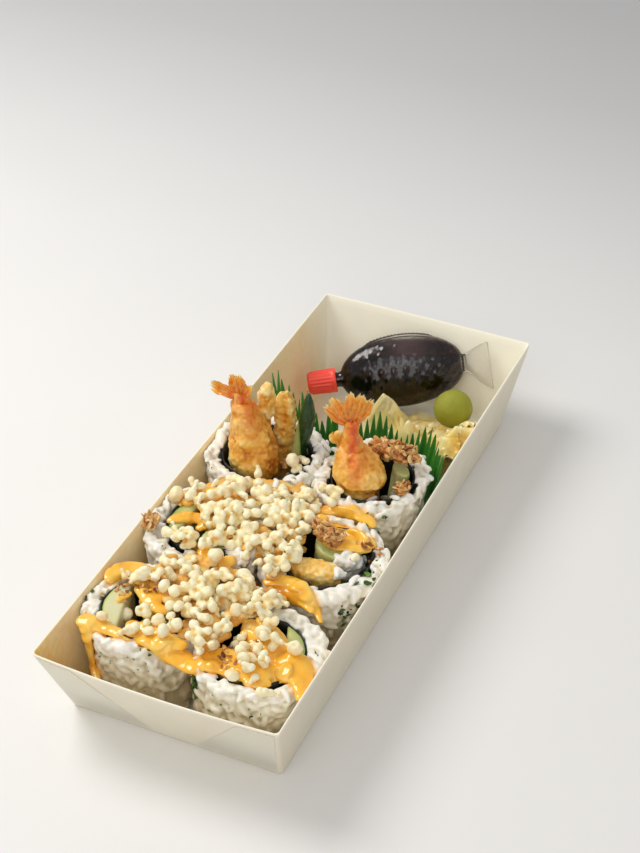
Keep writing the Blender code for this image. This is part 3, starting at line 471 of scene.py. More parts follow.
def joined(parts):
    """Several closed (points, faces, tone) parts as one."""
    points, faces, tones = [], [], []
    start = 0
    for part_points, part_faces, part_tone in parts:
        points.append(part_points)
        faces.append(facing_out(part_points, triangles(part_faces)) + start)
        tones.append(np.broadcast_to(np.asarray(part_tone, float), (len(part_points),)))
        start += len(part_points)
    return np.concatenate(points), np.concatenate(faces), np.concatenate(tones)


def grown_together(parts, voxel, smoothing):
    """Closed parts under one skin."""
    points, faces, _ = joined(parts)
    return remeshed(points, faces, voxel, smoothing)


def hollows(points, faces, rounds=6):
    """How far each point lies below its surroundings, in millimetres; knobs give negative values."""
    size = len(points)
    count = np.zeros(size)
    for i in range(3):
        count += 2 * np.bincount(faces[:, i], minlength=size)
    soft = points
    for _ in range(rounds):
        total = np.zeros_like(points)
        for axis in range(3):
            for i in range(3):
                around = soft[faces[:, (i + 1) % 3], axis] + soft[faces[:, (i + 2) % 3], axis]
                total[:, axis] += np.bincount(faces[:, i], around, size)
        soft = total / np.maximum(count, 1)[:, None]
    return ((soft - points) * vertex_normals(points, faces)).sum(1)


def near_sauce(points, sauce, reach):
    """1 on the sauce, falling to 0 at a reach from it."""
    away = np.full(len(points), float(reach))
    for tree in sauce.trees:
        for index, point in enumerate(points.tolist()):
            found = tree.find_nearest(point, float(away[index]))[3]
            if found is not None:
                away[index] = found
    return 1 - ease(away / reach)


def level_ring(x, y, z, reach, angles):
    """Points round a centre, at one height or at a height for each."""
    return np.stack([x + reach * np.cos(angles), y + reach * np.sin(angles),
                     np.broadcast_to(z, angles.shape)], 1)


def grid_faces(rows, columns, closed=False):
    """Quads of a grid of points, row by row; closed joins each row's end to its start."""
    faces = []
    for i in range(rows - 1):
        for j in range(columns if closed else columns - 1):
            after = (j + 1) % columns
            faces.append((i * columns + j, i * columns + after,
                          (i + 1) * columns + after, (i + 1) * columns + j))
    return np.array(faces)


def lofted(rings):
    """A closed skin over rings of equal length, capped by a fan at each end."""
    rings = [np.asarray(ring, float) for ring in rings]
    count = len(rings[0])
    points = np.concatenate(rings + [rings[0].mean(0)[None], rings[-1].mean(0)[None]])
    sides = triangles(grid_faces(len(rings), count, closed=True))
    first, last = len(points) - 2, len(points) - 1
    start = (len(rings) - 1) * count
    caps = [(first, (j + 1) % count, j) for j in range(count)]
    caps += [(last, start + j, start + (j + 1) % count) for j in range(count)]
    return points, np.concatenate([sides, np.array(caps)])


def sheet(top, bottom, rows, columns):
    """A thin closed body between two grids of points."""
    points = np.concatenate([top, bottom])
    size = rows * columns
    upper = grid_faces(rows, columns)
    faces = [tuple(face) for face in upper] + [tuple(size + i for i in face[::-1]) for face in upper]
    edge = list(range(columns))
    edge += [i * columns + columns - 1 for i in range(1, rows)]
    edge += [(rows - 1) * columns + j for j in range(columns - 2, -1, -1)]
    edge += [i * columns for i in range(rows - 2, 0, -1)]
    for first, second in zip(edge, edge[1:] + edge[:1]):
        faces.append((second, first, size + first, size + second))
    return points, np.array(faces)


def freed_arrays(bm):
    """The points and faces of a bmesh, which is freed."""
    bm.verts.index_update()
    points = np.array([vert.co[:] for vert in bm.verts])
    faces = np.array([[vert.index for vert in face.verts] for face in bm.faces])
    bm.free()
    return points, faces


def unit_ball(level):
    bm = bmesh.new()
    bmesh.ops.create_icosphere(bm, subdivisions=level, radius=1.0)
    points, faces = freed_arrays(bm)
    return points / np.linalg.norm(points, axis=1, keepdims=True), faces


def facing_matrix(normal, spin):
    """Columns: a tangent turned by spin, the other tangent, and the normal."""
    normal = Vector(normal).normalized()
    side = normal.orthogonal().normalized()
    other = normal.cross(side)
    first = side * math.cos(spin) + other * math.sin(spin)
    return np.array((first, normal.cross(first), normal)).T


class Ground:
    """Finds what lies below a point, nearest to it, or behind a pixel, among meshes in millimetres."""

    def __init__(self):
        self.trees = []

    def add(self, points, faces):
        self.trees.append(BVHTree.FromPolygons(points.tolist(), faces.tolist()))

    def top(self, x, y, lowest=FLOOR):
        found = lowest
        for tree in self.trees:
            hit = tree.ray_cast(Vector((x, y, 200)), Vector((0, 0, -1)))[0]
            if hit and hit.z > found:
                found = hit.z
        return found

    def closest(self, find):
        """The closest (place, normal, distance) of what each tree finds, or None."""
        found = [find(tree) for tree in self.trees]
        return min(((hit, normal, away) for hit, normal, _, away in found if hit),
                   key=lambda best: best[2], default=None)

    def nearest(self, place):
        return self.closest(lambda tree: tree.find_nearest(Vector(place)))

    def seen(self, px, py):
        """What the photo's camera sees at a pixel."""
        way = pixel_way(px, py).normalized()
        return self.closest(lambda tree: tree.ray_cast(Vector(CAMERA_PLACE), way))


def sample_surface(points, faces, count, chance):
    """Random points spread evenly over the triangles, with their normals."""
    corners, flat = face_vectors(points, faces)
    area = np.linalg.norm(flat, axis=1)
    chosen = chance.choice(len(faces), count, p=area / area.sum())
    first, second = chance.random(count), chance.random(count)
    over = first + second > 1
    first[over], second[over] = 1 - first[over], 1 - second[over]
    a, b, c = (corner[chosen] for corner in corners)
    places = a + (b - a) * first[:, None] + (c - a) * second[:, None]
    return places, flat[chosen] / area[chosen][:, None]


def bore_at(place, z):
    """The centre of a roll's bore at heights, and its scale, which is 1 at the top."""
    top, base, height, _ = BORES[place]
    share = (z - FLOOR) / (height - FLOOR)
    return mix(base[0], top[0], share), mix(base[1], top[1], share), mix(BASE_SCALE, 1.0, share)


def from_bore(place, points):
    """How far points are from the bore's axis across and along the tray."""
    return points[:, :2] - np.array(bore_at(place, points[:, 2])[:2]).T


# Tray


def tray_ring(z, inset, per_side=18, corner=1.4):
    """The tray's outline at a height, its corners folded round, its ends bowed out towards the rim."""
    up = z / TRAY_HEIGHT
    half_width = TRAY_WIDTH / 2 - SIDE_LEAN * (1 - up) - inset
    half_length = TRAY_LENGTH / 2 - END_LEAN * (1 - up) - inset
    ring = []
    quarters = ((1, -1), (1, 1), (-1, 1), (-1, -1))
    for quarter, (side_x, side_y) in enumerate(quarters):
        start = -90 + 90 * quarter
        for step in range(5):
            angle = math.radians(start + 90 * step / 4)
            ring.append((side_x * (half_width - corner) + corner * math.cos(angle),
                         side_y * (half_length - corner) + corner * math.sin(angle)))
        last = ring[-1]
        next_x, next_y = quarters[(quarter + 1) % 4]
        after = math.radians(start + 90)
        goal = (next_x * (half_width - corner) + corner * math.cos(after),
                next_y * (half_length - corner) + corner * math.sin(after))
        for step in range(1, per_side):
            share = step / per_side
            ring.append((mix(last[0], goal[0], share), mix(last[1], goal[1], share)))
    points = []
    for x, y in ring:
        across, along = x / half_width, y / half_length
        bulge = max(0.0, 1 - across * across)
        on_end = abs(along) > 0.97
        bow = END_BOW * up * up * bulge * math.copysign(1, y) if on_end else 0.0
        drop = 0.5 * END_BOW * up * bulge if on_end else 0.0
        slack = 0.35 * up * math.sin(2.3 * along + 0.6) ** 2 if abs(across) > 0.97 else 0.0
        points.append((x - math.copysign(slack, x), y + bow, z - drop))
    return points


def build_tray():
    """The board: up its outside, over the rim and down its inside, with painted light on its inside, painted
    warm shade on its left wall and a painted reflection of the sauce in its front-left corner.
    """
    outer = [(0.0, 1.0), (0.1, 0.35), (0.5, 0.05), (1.2, 0.0)]
    outer += [(z, 0.0) for z in np.linspace(4, TRAY_HEIGHT - 0.35, 12)]
    rim = [(TRAY_HEIGHT - 0.1, 0.1), (TRAY_HEIGHT, BOARD / 2), (TRAY_HEIGHT - 0.1, BOARD - 0.1)]
    inner = [(z, BOARD) for z in np.linspace(TRAY_HEIGHT - 0.35, 2.4, 12)]
    inner += [(1.3, BOARD + 0.1), (0.9, BOARD + 0.6), (BOARD, BOARD + 1.6)]
    points, faces = lofted([tray_ring(z, inset) for z, inset in outer + rim + inner])
    faces = faces[:, ::-1]
    tone = 0.5 + 0.12 * lattice_noise(points, 30, 3)
    tone = np.where(points[:, 2] > TRAY_HEIGHT - 1.0, tone + 0.3, tone)
    inside = np.zeros(len(points))
    first = (len(outer) + 2) * len(tray_ring(0, 0))
    # Painted warm shade on the inside of the left wall, which faces away from the key lamp.
    left = ease((-points[:, 0] - 30) / 12) * ease((118 - points[:, 1]) / 20)
    inside[first:] = 0.45 * left[first:]
    # Painted light on the inside of the walls.
    tone[first:] += 0.5
    # Painted orange reflection of the sauce in the front-left inside corner.
    sauce_reflection = np.exp(-(((points[:, 0] + 44) / 7) ** 2) - (((points[:, 1] + 122) / 9) ** 2))
    inside[first:] += 0.4 * sauce_reflection[first:]
    add_piece("tray_board", points, faces, "board", tone, ["tray"], sharp=60, blush=inside)
    build_corner_flaps()


def build_corner_flaps(thick=0.28):
    """The folded corners, glued flat against the outside of both end walls."""
    corner_side, rim_away, foot_away = 2.0, 15.0, 34.0
    parts = []
    for side_x in (-1, 1):
        for side_y in (-1, 1):
            rows = []
            for z in np.linspace(2.5, TRAY_HEIGHT - 1.5, 12):
                up = z / TRAY_HEIGHT
                half_width = TRAY_WIDTH / 2 - SIDE_LEAN * (1 - up)
                reach = mix(foot_away, rim_away, up)
                row = []
                for share in np.linspace(0, 1, 8):
                    x = half_width - corner_side - share * (reach - corner_side)
                    across = x / half_width
                    bulge = END_BOW * up * (1 - across * across)
                    y = TRAY_LENGTH / 2 - END_LEAN * (1 - up) + up * bulge
                    row.append((side_x * x, side_y * (y + 0.02), z - 0.5 * bulge))
                rows.append(row)
            base = np.array(rows).reshape(-1, 3)
            depth = thick * np.clip((base[:, 2:] - 8) / 14, 0.1, 1) * (0, side_y, 0)
            points, faces = sheet(base + depth, base, 12, 8)
            if side_x * side_y < 0:
                faces = faces[:, ::-1]
            parts.append((points, faces, 0.5))
    points, faces, tone = joined(parts)
    add_piece("tray_corner_flaps", points, faces, "board", tone, sharp=40)


# Rice and seaweed


def grain_templates():
    """Cooked grains: bent, a little flattened, one end blunter."""
    templates = []
    segments, steps = 7, 6
    for bend, blunt in ((0.10, 0.1), (0.18, -0.1), (0.04, 0.2)):
        rings = []
        for step in range(1, steps):
            turn = math.pi * step / steps
            along = -math.cos(turn)
            radius = math.sin(turn) ** 0.75 * (1 + blunt * along)
            ring = []
            for i in range(segments):
                angle = TAU * i / segments
                ring.append((along * 0.5 * GRAIN_LENGTH,
                             radius * 0.5 * GRAIN_WIDTH * math.cos(angle),
                             radius * 0.43 * GRAIN_WIDTH * math.sin(angle) + bend * 4 * (1 - along**2)))
            rings.append(ring)
        points, faces = lofted(rings)
        points[-2, 0] = -0.5 * GRAIN_LENGTH
        points[-1, 0] = 0.5 * GRAIN_LENGTH
        templates.append((points - (0, 0, bend * 2), faces))
    return templates


def outer_faces(place, points, faces):
    """Faces of a rice ring that can show: its sides and its top, not its bore or its underside."""
    centre = points[faces].mean(1)
    _, normal = face_vectors(points, faces)
    normal /= np.maximum(np.linalg.norm(normal, axis=1, keepdims=True), 1e-9)
    outward = centre[:, :2] - np.array(BORES[place][0])
    outward /= np.linalg.norm(outward, axis=1, keepdims=True)
    turned_out = (outward * normal[:, :2]).sum(1)
    return faces[(normal[:, 2] > 0.4) | ((turned_out > 0.2) & (centre[:, 2] > 6))]


def pressed(place, points):
    """Rice keeps inside the walls, off the floor and out of its bore."""
    keep_inside(points, 0.15)
    points[:, 2] = np.maximum(points[:, 2], FLOOR - 0.2)
    offset = from_bore(place, points)
    away = np.linalg.norm(offset, axis=1)
    least = BORES[place][3] * bore_at(place, points[:, 2])[2] - 0.25
    push = np.maximum(least / np.maximum(away, 1e-6), 1.0)
    points[:, :2] += offset * (push - 1)[:, None]
    return points


def laid_grains(templates, places, normals, sink, lean, chance):
    """Grains lying along a surface, each sunk into it and leaning a little."""
    parts = []
    for index, (spot, normal) in enumerate(zip(places, normals)):
        points, faces = templates[index % len(templates)]
        way = Vector(normal) + Vector(chance.uniform(-lean, lean, 3))
        turn = facing_matrix(way, chance.uniform(0, TAU))
        size = chance.uniform(0.84, 1.14)
        parts.append(((points * size) @ turn.T + spot - normal * chance.uniform(*sink), faces, 0.0))
    return parts


def build_rice(sauce):
    """Pressed rice: grains grown together with a core, and some loose ones on top."""
    templates = grain_templates()
    for number, place in enumerate(BORES):
        chance = np.random.default_rng(100 + number)
        rough_points, rough_faces = node_arrays("rice_" + place)
        shown = outer_faces(place, rough_points, rough_faces)
        core_points, core_faces = remeshed(rough_points, rough_faces, 0.9, 4)
        core_points = core_points - 1.15 * vertex_normals(core_points, core_faces)
        grains = []
        for count, sink, lean in ((GRAINS_PER_ROLL, (0.45, 1.3), 0.22), (LOOSE_GRAINS, (0.0, 0.5), 0.35)):
            grains += laid_grains(templates, *sample_surface(rough_points, shown, count, chance),
                                  sink, lean, chance)
        points, faces = grown_together([(core_points, core_faces, 0.0)] + grains, RICE_VOXEL, 4)
        points = pressed(place, points)
        tone = 0.66 + 0.16 * lattice_noise(points, 8, number)
        # Painted shade: darker in the creases between the grains and towards the foot of the roll.
        tone -= 0.9 * np.clip(hollows(points, faces), -0.2, 0.5)
        tone -= 0.1 + 0.62 * ease((32 - points[:, 2]) / 24)
        add_piece("rice_grains_" + place, points, faces, "rice", tone, ["rice_" + place],
                  blush=0.8 * near_sauce(points, sauce, 1.6))


# Loose clumps of rice among the fillings: (pixel across, pixel down) in the photo
RICE_SPOTS = [
    (340, 560), (346, 556), (352, 560), (358, 564), (343, 567), (349, 570), (355, 572), (361, 572),
    (338, 573), (345, 577), (352, 580), (364, 562), (348, 564), (356, 567),
    (288, 480), (297, 482), (304, 477), (310, 470), (316, 462), (322, 453), (327, 444), (300, 488),
    (290, 490), (312, 484), (318, 476), (274, 486), (385, 500), (372, 503), (396, 497), (232, 548),
    (242, 562), (250, 570),
    (162, 612), (168, 620),
]


def build_loose_rice(ground):
    """Clumps of grains lying across the fillings and the seaweed."""
    templates = grain_templates()
    chance = np.random.default_rng(61)
    places, normals = [], []
    for px, py in RICE_SPOTS:
        for _ in range(3):
            seen = ground.seen(px + chance.normal(0, 2.2), py + chance.normal(0, 1.8))
            if seen:
                places.append(np.array(seen[0]))
                normals.append(np.array(seen[1]))
    grains = laid_grains(templates, np.array(places), np.array(normals), (-0.6, 0.2), 0.5, chance)
    points, faces = grown_together(grains, 0.42, 3)
    # Painted shade in the creases between the grains.
    tone = 0.68 - 0.8 * np.clip(hollows(points, faces), -0.2, 0.4)
    add_piece("loose_rice", points, faces, "rice", tone)


def build_seaweed(around=150, thick=0.3, levels=9):
    """A thin sheet round each bore: up its outer side, down its inner one, its upper edge torn."""
    angles = np.arange(around) * TAU / around
    edge = level_ring(0, 0, 0, 9, angles)
    sides = grid_faces(2 * levels, around, closed=True)
    last = (2 * levels - 1) * around
    foot = [(last + j, last + (j + 1) % around, (j + 1) % around, j) for j in range(around)]
    faces = np.concatenate([sides, np.array(foot)])
    for number, (place, (_, _, height, radius)) in enumerate(BORES.items()):
        top = height - 0.3 + 0.8 * lattice_noise(edge, 2.6, number)
        top += 0.4 * lattice_noise(edge, 0.6, number)
        wave = 0.3 * lattice_noise(edge, 3.1, number + 9) + 0.16 * lattice_noise(edge, 1.1, number + 5)
        rings = []
        for inward, shares in ((0, np.linspace(0, 1, levels)), (thick, np.linspace(1, 0, levels))):
            for share in shares:
                z = mix(FLOOR + 0.1, top, share)
                reach = radius - 0.55 - inward + wave * share
                x, y, scale = bore_at(place, z)
                rings.append(level_ring(x, y, z, reach * scale, angles))
        add_piece("seaweed_sheet_" + place, np.concatenate(rings), faces, "seaweed", 0.4,
                  ["seaweed_" + place])


# Fillings and prawns


def rounded_node(name, voxel, smoothing, bumps, seed):
    """A node's form with an even, lumpy skin: bumps are (size, height) pairs."""
    points, faces = remeshed(*node_arrays(name), voxel, smoothing)
    relief = np.zeros(len(points))
    for size, height in bumps:
        relief += height * lattice_noise(points, size, seed)
    return raised(points, faces, relief), faces, relief


def build_fillings():
    """The cut fillings; a cucumber is green where its skin lies, near the bore's wall."""
    for number, name in enumerate(sorted(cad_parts)):
        kind, _, place = name.partition("_")
        if kind == "cucumber":
            points, faces, _ = rounded_node(name, 0.45, 4, ((3.0, 0.12),), number)
            away = np.linalg.norm(from_bore(place, points), axis=1)
            skin = BORES[place][3] - 1.2 if place != "back_left" else 13.6
            skin += 0.5 if place.startswith("front") else 0
            tone = 0.04 + 0.2 * np.clip(skin - away, 0, 1.2) + 0.05 * np.clip(skin - away - 1.2, 0, 12)
            tone += 0.5 * ease((skin - away - 0.8) / 1.5) * (place == "front_left")
            add_piece("cut_" + name, points, faces, "cucumber", tone, [name])
        elif kind == "avocado":
            points, faces, _ = rounded_node(name, 0.5, 5, ((4.0, 0.35), (1.6, 0.15)), number)
            add_piece("cut_" + name, points, faces, "avocado",
                      0.5 + 0.3 * lattice_noise(points, 5, 4), [name])
        elif kind in ("prawn", "tempura", "batter") and not place.startswith("tail"):
            build_battered(name, number)


def build_battered(name, number):
    """A fried prawn in its knobbly batter, with painted light on its knobs and painted shade in its dips."""
    stands = name in ("prawn_back_left", "prawn_back_right")
    bumps = ((4.0, 0.4), (1.8, 0.35), (0.8, 0.15))
    if stands:
        bumps = ((5.2, 0.7), (2.4, 0.55), (1.1, 0.3))
    elif name in ("tempura_back_left", "batter_back_left", "tempura_back_right"):
        bumps = ((3.6, 1.3), (1.7, 0.7), (0.8, 0.25))
    points, faces, relief = rounded_node(name, 0.42, 3, bumps, number + 30)
    # Painted light on the knobs and painted shade in the dips.
    tone = 0.52 + 0.3 * relief / max(abs(relief).max(), 1e-6)
    tone += 0.12 * lattice_noise(points, 9, 2) - 0.5 * np.clip(hollows(points, faces), -0.3, 0.4)
    blush = np.zeros(len(points))
    if stands:
        middle = points.mean(0)
        side = (points[:, :2] - middle[:2]) @ np.array(CAMERA_RIGHT[:2]) / 8
        top = points[:, 2].max()
        # Painted shade on the side to the camera's right, which faces away from the key lamp, deepest low
        # down; paler towards the foot.
        low = ease((42 - points[:, 2]) / 8)
        tone += 0.12 * ease((44 - points[:, 2]) / 12) - 0.3 * low * ease(side) - 0.1 * ease(side)
        streak = np.exp(-((side + 0.15) / 0.4) ** 2) * ease((points[:, 2] - top + 15) / 12)
        blush = np.clip(0.6 * streak + 0.25 * ease((points[:, 2] - top + 9) / 9), 0, 0.7)
    elif name == "prawn_middle_right":
        tone += 0.16
    elif name in ("tempura_back_left", "batter_back_left"):
        tone += 0.14
    add_piece("battered_" + name, points, faces, "tempura", tone, [name], blush=blush)


def tail_lobe(root, tip, width, facing, number, rows=22, columns=15):
    """One lobe of a tail fan: ribbed along its length, cupped, with a ragged end."""
    axis = tip - root
    across = axis.cross(facing).normalized()
    normal = across.cross(axis).normalized()
    chance = random.Random(number)
    ragged = [chance.uniform(-0.1, 0.05) for _ in range(columns)]
    bend = chance.uniform(-0.8, 0.8)
    sides = []
    for top in (1, -1):
        grid = []
        for i in range(rows):
            share = i / (rows - 1)
            half = width / 2 * (0.36 + 0.64 * math.sin(min(share * 1.2, 1) * 1.8)) * (1 - 0.3 * share**6)
            for j in range(columns):
                side = 2 * j / (columns - 1) - 1
                length = share * (1 - 0.12 * side * side + ragged[j] * share**4)
                thick = (0.28 + 1.1 * (1 - share) ** 2) * (0.25 + 0.75 * (1 - side * side))
                rib = 0.16 * math.cos(side * math.pi * 3.5) * math.sin(math.pi * min(share + 0.1, 1))
                cup = 1.1 * side * side * share + 1.2 * share * share * math.sin(number)
                place = root + axis * length + across * (side * half + bend * share * share)
                grid.append(place + normal * (cup + rib + top * thick / 2))
        sides.append(np.array([point[:] for point in grid]))
    points, faces = sheet(sides[0], sides[1], rows, columns)
    points = points + 0.5 * np.stack([lattice_noise(points, 1.5, number + axis) for axis in range(3)], 1)
    along = np.tile(np.repeat(np.linspace(0, 1, rows), columns), 2)
    ridge = np.tile(np.tile(np.cos(np.linspace(-1, 1, columns) * math.pi * 3.5), rows), 2)
    # Painted shade on the ribs: lighter on each rib, darker in the grooves between them.
    tone = 0.3 + 0.24 * along + 0.09 * ridge + 0.4 * ease((along - 0.82) / 0.18)
    return points, faces, tone


# Each tail: where its lobes grow from, its stem as (x, y, z, radius), its tips as (x, y, z, lobe width)
TAILS = {
    "back_left": (
        (-32.4, 9.2, 60.2),
        ((-31.6, 9.3, 55.0, 3.9), (-31.9, 9.4, 59.6, 2.7), (-32.6, 9.5, 62.4, 2.2)),
        ((-45.4, 9.4, 62.6, 4.2), (-44.2, 7.2, 65.2, 3.6), (-37.6, 9.8, 69.6, 5.0),
         (-32.6, 9.8, 70.6, 5.6), (-28.6, 9.0, 67.0, 5.4))),
    "back_right": (
        (13.6, 11.6, 58.4),
        ((15.2, 10.0, 48.0, 5.0), (14.8, 10.4, 52.4, 3.9), (14.1, 11.0, 56.6, 2.9),
         (13.7, 11.5, 60.0, 2.5), (13.4, 12.0, 62.0, 1.8)),
        ((3.2, 9.6, 66.4, 5.0), (6.2, 11.2, 70.6, 5.6), (11.2, 13.4, 72.6, 6.2),
         (16.8, 15.6, 72.8, 6.2), (20.6, 17.0, 70.2, 5.2))),
}


def build_tails():
    """The tails: a fluted stem and a fan of lobes that face the photo's camera."""
    facing = Vector((0.32, -0.73, 0.6))
    for number, (place, (root, stem, tips)) in enumerate(TAILS.items()):
        rings = []
        angles = np.arange(40) * TAU / 40
        for x, y, z, radius in smooth_path(list(stem), 5):
            flutes = radius * (1 + 0.07 * np.cos(5 * angles + 0.2 * z))
            rings.append(level_ring(x, y, z, flutes, angles))
        points, faces = lofted(rings)
        crags = 0.7 * lattice_noise(points, 1.9, 5) + 0.3 * lattice_noise(points, 0.9, 7)
        x, y, _, radius = stem[0]
        across = np.abs((points[:, :2] - np.array((x, y))) @ np.array(CAMERA_RIGHT[:2])) / radius
        points = raised(points, faces, crags)
        # Painted highlights on the stem's raised crags.
        parts = [(points, faces, 0.36 + 0.3 * crags + 0.3 * across)]
        blushes = [np.clip(0.95 - 1.5 * across, 0, 1)]
        for index, tip in enumerate(tips):
            lobe = tail_lobe(Vector(root), Vector(tip[:3]), tip[3], facing, 10 * number + index)
            parts.append(lobe)
            blushes.append(0.55 * ease(1 - np.linalg.norm(lobe[0] - np.array(root), axis=1) / 7))
        points, faces, tone = joined(parts)
        add_piece("tail_fan_" + place, points, faces, "tail", tone,
                  ["prawn_tail_" + place], blush=np.concatenate(blushes))


# Sauce


def drop_on(place, normal, width, thick, ball):
    """A flattened drop lying on a surface."""
    points, faces = ball
    if normal.z < -0.2:
        normal = -normal
    turn = facing_matrix(normal, 0.0)
    flat = points * (width / 2, width / 2, thick)
    return flat @ turn.T + np.array(place + normal * thick * 0.3), faces, 0.5


def at_height(px, py, z):
    """Where the photo's camera sees a pixel at a height."""
    way = pixel_way(px, py)
    share = (z - CAMERA_PLACE[2]) / way.z
    return Vector(CAMERA_PLACE) + way * share


def sauce_drops(ground, stroke, ball, step=1.5, reach=9):
    """Drops where the camera sees a stroke of (pixel across, pixel down, width in millimetres).

    The stroke spans the gaps it crosses, sagging a little.
    """
    samples = []
    for px, py, width in smooth_path(stroke, 12):
        if samples and math.hypot(px - samples[-1][0], py - samples[-1][1]) < step:
            continue
        seen = ground.seen(px, py)
        if seen and seen[0].z > 3:
            samples.append((px, py, width, seen[0], seen[1]))
    heights = [sample[3].z for sample in samples]
    count = len(samples)
    raised = [max(heights[max(i - reach, 0):i + reach + 1]) for i in range(count)]
    parts = []
    for i, (px, py, width, place, normal) in enumerate(samples):
        spanned = min(raised[max(i - reach, 0):i + reach + 1])
        if spanned > place.z + 0.4:
            place = at_height(px, py, mix(place.z, spanned, 0.9))
            normal = Vector((0, 0, 1))
        parts.append(drop_on(place, normal, width, min(0.6 + 0.13 * width, 1.6), ball))
    return parts


# Each stroke is a list of (pixel across, pixel down, width in millimetres) in the photo
SAUCE = {
    "front_left": [
        [(84, 622, 6.6), (94, 624, 7.6), (104, 628, 6.6), (113, 632, 5.4), (122, 635, 5.4),
         (131, 638, 5.8), (140, 640, 6.0), (149, 642, 6.6), (158, 645, 7.6), (166, 649, 8.4),
         (174, 655, 9.2), (183, 661, 9.2), (191, 667, 8.0), (200, 668, 6.6)],
        [(86, 620, 6.4), (87.5, 631, 6.0), (89.5, 643, 5.6), (91.5, 654, 5.2), (94, 664, 4.6),
         (96, 674, 3.8), (98, 681, 2.8)],
        [(110, 579, 5.4), (116, 573, 7.0), (126, 570, 8.0), (138, 571, 8.0), (150, 576, 7.6)],
        [(134, 582, 5.0), (145, 583, 6.4), (155, 583, 6.4), (162, 592, 6.0), (158, 600, 5.4)],
        [(140, 590, 4.6), (148, 600, 5.6), (156, 608, 5.6), (166, 612, 4.6)],
        [(132, 626, 5.6), (144, 630, 5.6), (156, 634, 6.0), (168, 640, 6.0), (180, 646, 6.0)],
        [(119, 601, 2.6), (124, 597.5, 3.0), (130, 594, 2.6)],
        [(154, 593, 4.6), (163, 596, 5.0), (173, 600, 5.6), (182, 606, 4.6)],
        [(197, 612, 4.0), (206, 619, 4.6), (214, 628, 4.6), (220, 636, 4.0)],
    ],
    "front_right": [
        [(200, 665, 5.4), (208, 666, 5.2), (215, 668, 4.6), (222, 671, 3.2)],
        [(208, 657, 6.0), (218, 655, 6.6), (228, 657, 8.0), (238, 661, 8.6), (248, 665, 8.6)],
        [(206, 666, 6.0), (217, 668, 6.4), (228, 671, 7.0), (238, 674, 7.0), (246, 677, 6.4)],
        [(244, 634, 3.4), (250, 637, 6.0), (256, 645, 7.0), (264, 654, 8.0), (276, 658, 9.0),
         (290, 661, 9.0), (303, 664, 7.4)],
        [(242, 650, 5.0), (247, 662, 6.6), (254, 672, 8.0), (264, 674, 8.6), (277, 674, 9.0),
         (290, 674, 9.0), (301, 674, 8.0)],
        [(249, 683, 5.0), (257, 684, 5.4), (266, 684, 4.6), (277, 682, 4.0)],
        [(262, 622, 5.6), (270, 630, 6.4), (277, 640, 7.0), (283, 650, 7.4)],
        [(258, 634, 6.0), (266, 644, 6.4), (272, 652, 6.4)],
        [(305, 666, 6.0), (305, 673, 6.6), (303.5, 682, 6.4), (301, 691, 5.0), (299.5, 699, 3.4)],
        [(292, 676, 6.0), (297, 684, 5.4), (299, 691, 4.0)],
        [(262, 603, 4.0), (256, 612, 3.4), (246, 616, 3.4), (236, 618, 4.0)],
    ],
    "middle_left": [
        [(171, 521, 3.6), (179, 519, 5.4), (190, 518, 6.0), (199, 519.5, 5.6), (206, 525, 4.6),
         (200, 529, 4.0)],
        [(183, 544, 4.0), (191, 546, 5.6), (200, 550, 6.0), (208, 557, 6.2), (215, 563, 6.0),
         (224, 563.5, 5.6), (231, 561, 4.4)],
        [(190, 484, 3.4), (200, 483.5, 4.6), (211, 487, 4.4), (203, 492, 5.6), (205, 498, 5.0),
         (197, 504, 4.0)],
        [(184, 502, 2.6), (180, 506, 2.2)],
        [(176, 487, 2.6), (182, 490, 3.0)],
        [(222, 497, 4.0), (230, 495, 4.0), (228, 524, 4.0), (231, 537, 3.4)],
        [(246, 528, 4.6), (254, 529, 5.0), (262, 531, 5.0), (267, 537, 4.4), (280, 537, 4.4)],
    ],
    "middle_right": [
        [(322, 528, 6.6), (331, 532, 8.8), (341, 535, 9.6), (352, 538, 9.6), (362, 541, 8.4),
         (370, 545, 5.6)],
        [(328, 540, 6.6), (338, 545, 7.4), (349, 547, 7.0), (361, 549, 6.0), (367, 550, 4.0)],
        [(317, 513, 4.6), (328, 511, 6.0), (341, 511.5, 6.8), (354, 514, 7.0), (366, 520, 6.0),
         (373, 526, 4.0)],
        [(268, 583, 4.6), (276, 582, 6.2), (284, 582, 7.0), (292, 584, 7.4), (299, 589, 7.4),
         (306, 596, 6.2), (312, 604, 4.8), (317, 613, 3.6), (320.5, 622, 2.4)],
        [(272, 591, 4.4), (284, 594, 5.4), (294, 599, 5.0), (303, 604, 4.0), (311, 611, 3.0)],
        [(274, 509, 4.0), (282, 524, 4.0), (292, 531, 4.6), (300, 535, 4.6), (301, 543, 4.0)],
        [(289, 519, 3.6), (296, 516, 3.4), (316, 517, 3.4), (325, 519, 3.4)],
    ],
}


def build_sauce(ground):
    """The sauce, laid on what the camera sees at each stroke; gives what lies near it."""
    ball = unit_ball(2)
    sauce = Ground()
    for number, (place, strokes) in enumerate(SAUCE.items()):
        parts = []
        for stroke in strokes:
            parts += sauce_drops(ground, stroke, ball)
        points, faces = grown_together(parts, SAUCE_VOXEL, 8)
        flow = 0.24 * lattice_noise(points, 4.5, number) + 0.12 * lattice_noise(points, 1.8, number)
        points = raised(points, faces, flow)
        keep_inside(points, 0.1)
        tone = 0.5 + 0.35 * lattice_noise(points, 6, number)
        # Painted shade in the sauce's dips.
        tone -= 0.5 * np.clip(hollows(points, faces), -0.3, 0.3)
        add_piece("sauce_" + place, points, faces, "mayonnaise", tone, ["mayonnaise_" + place])
        sauce.add(points, faces)
    return sauce


# Crunch


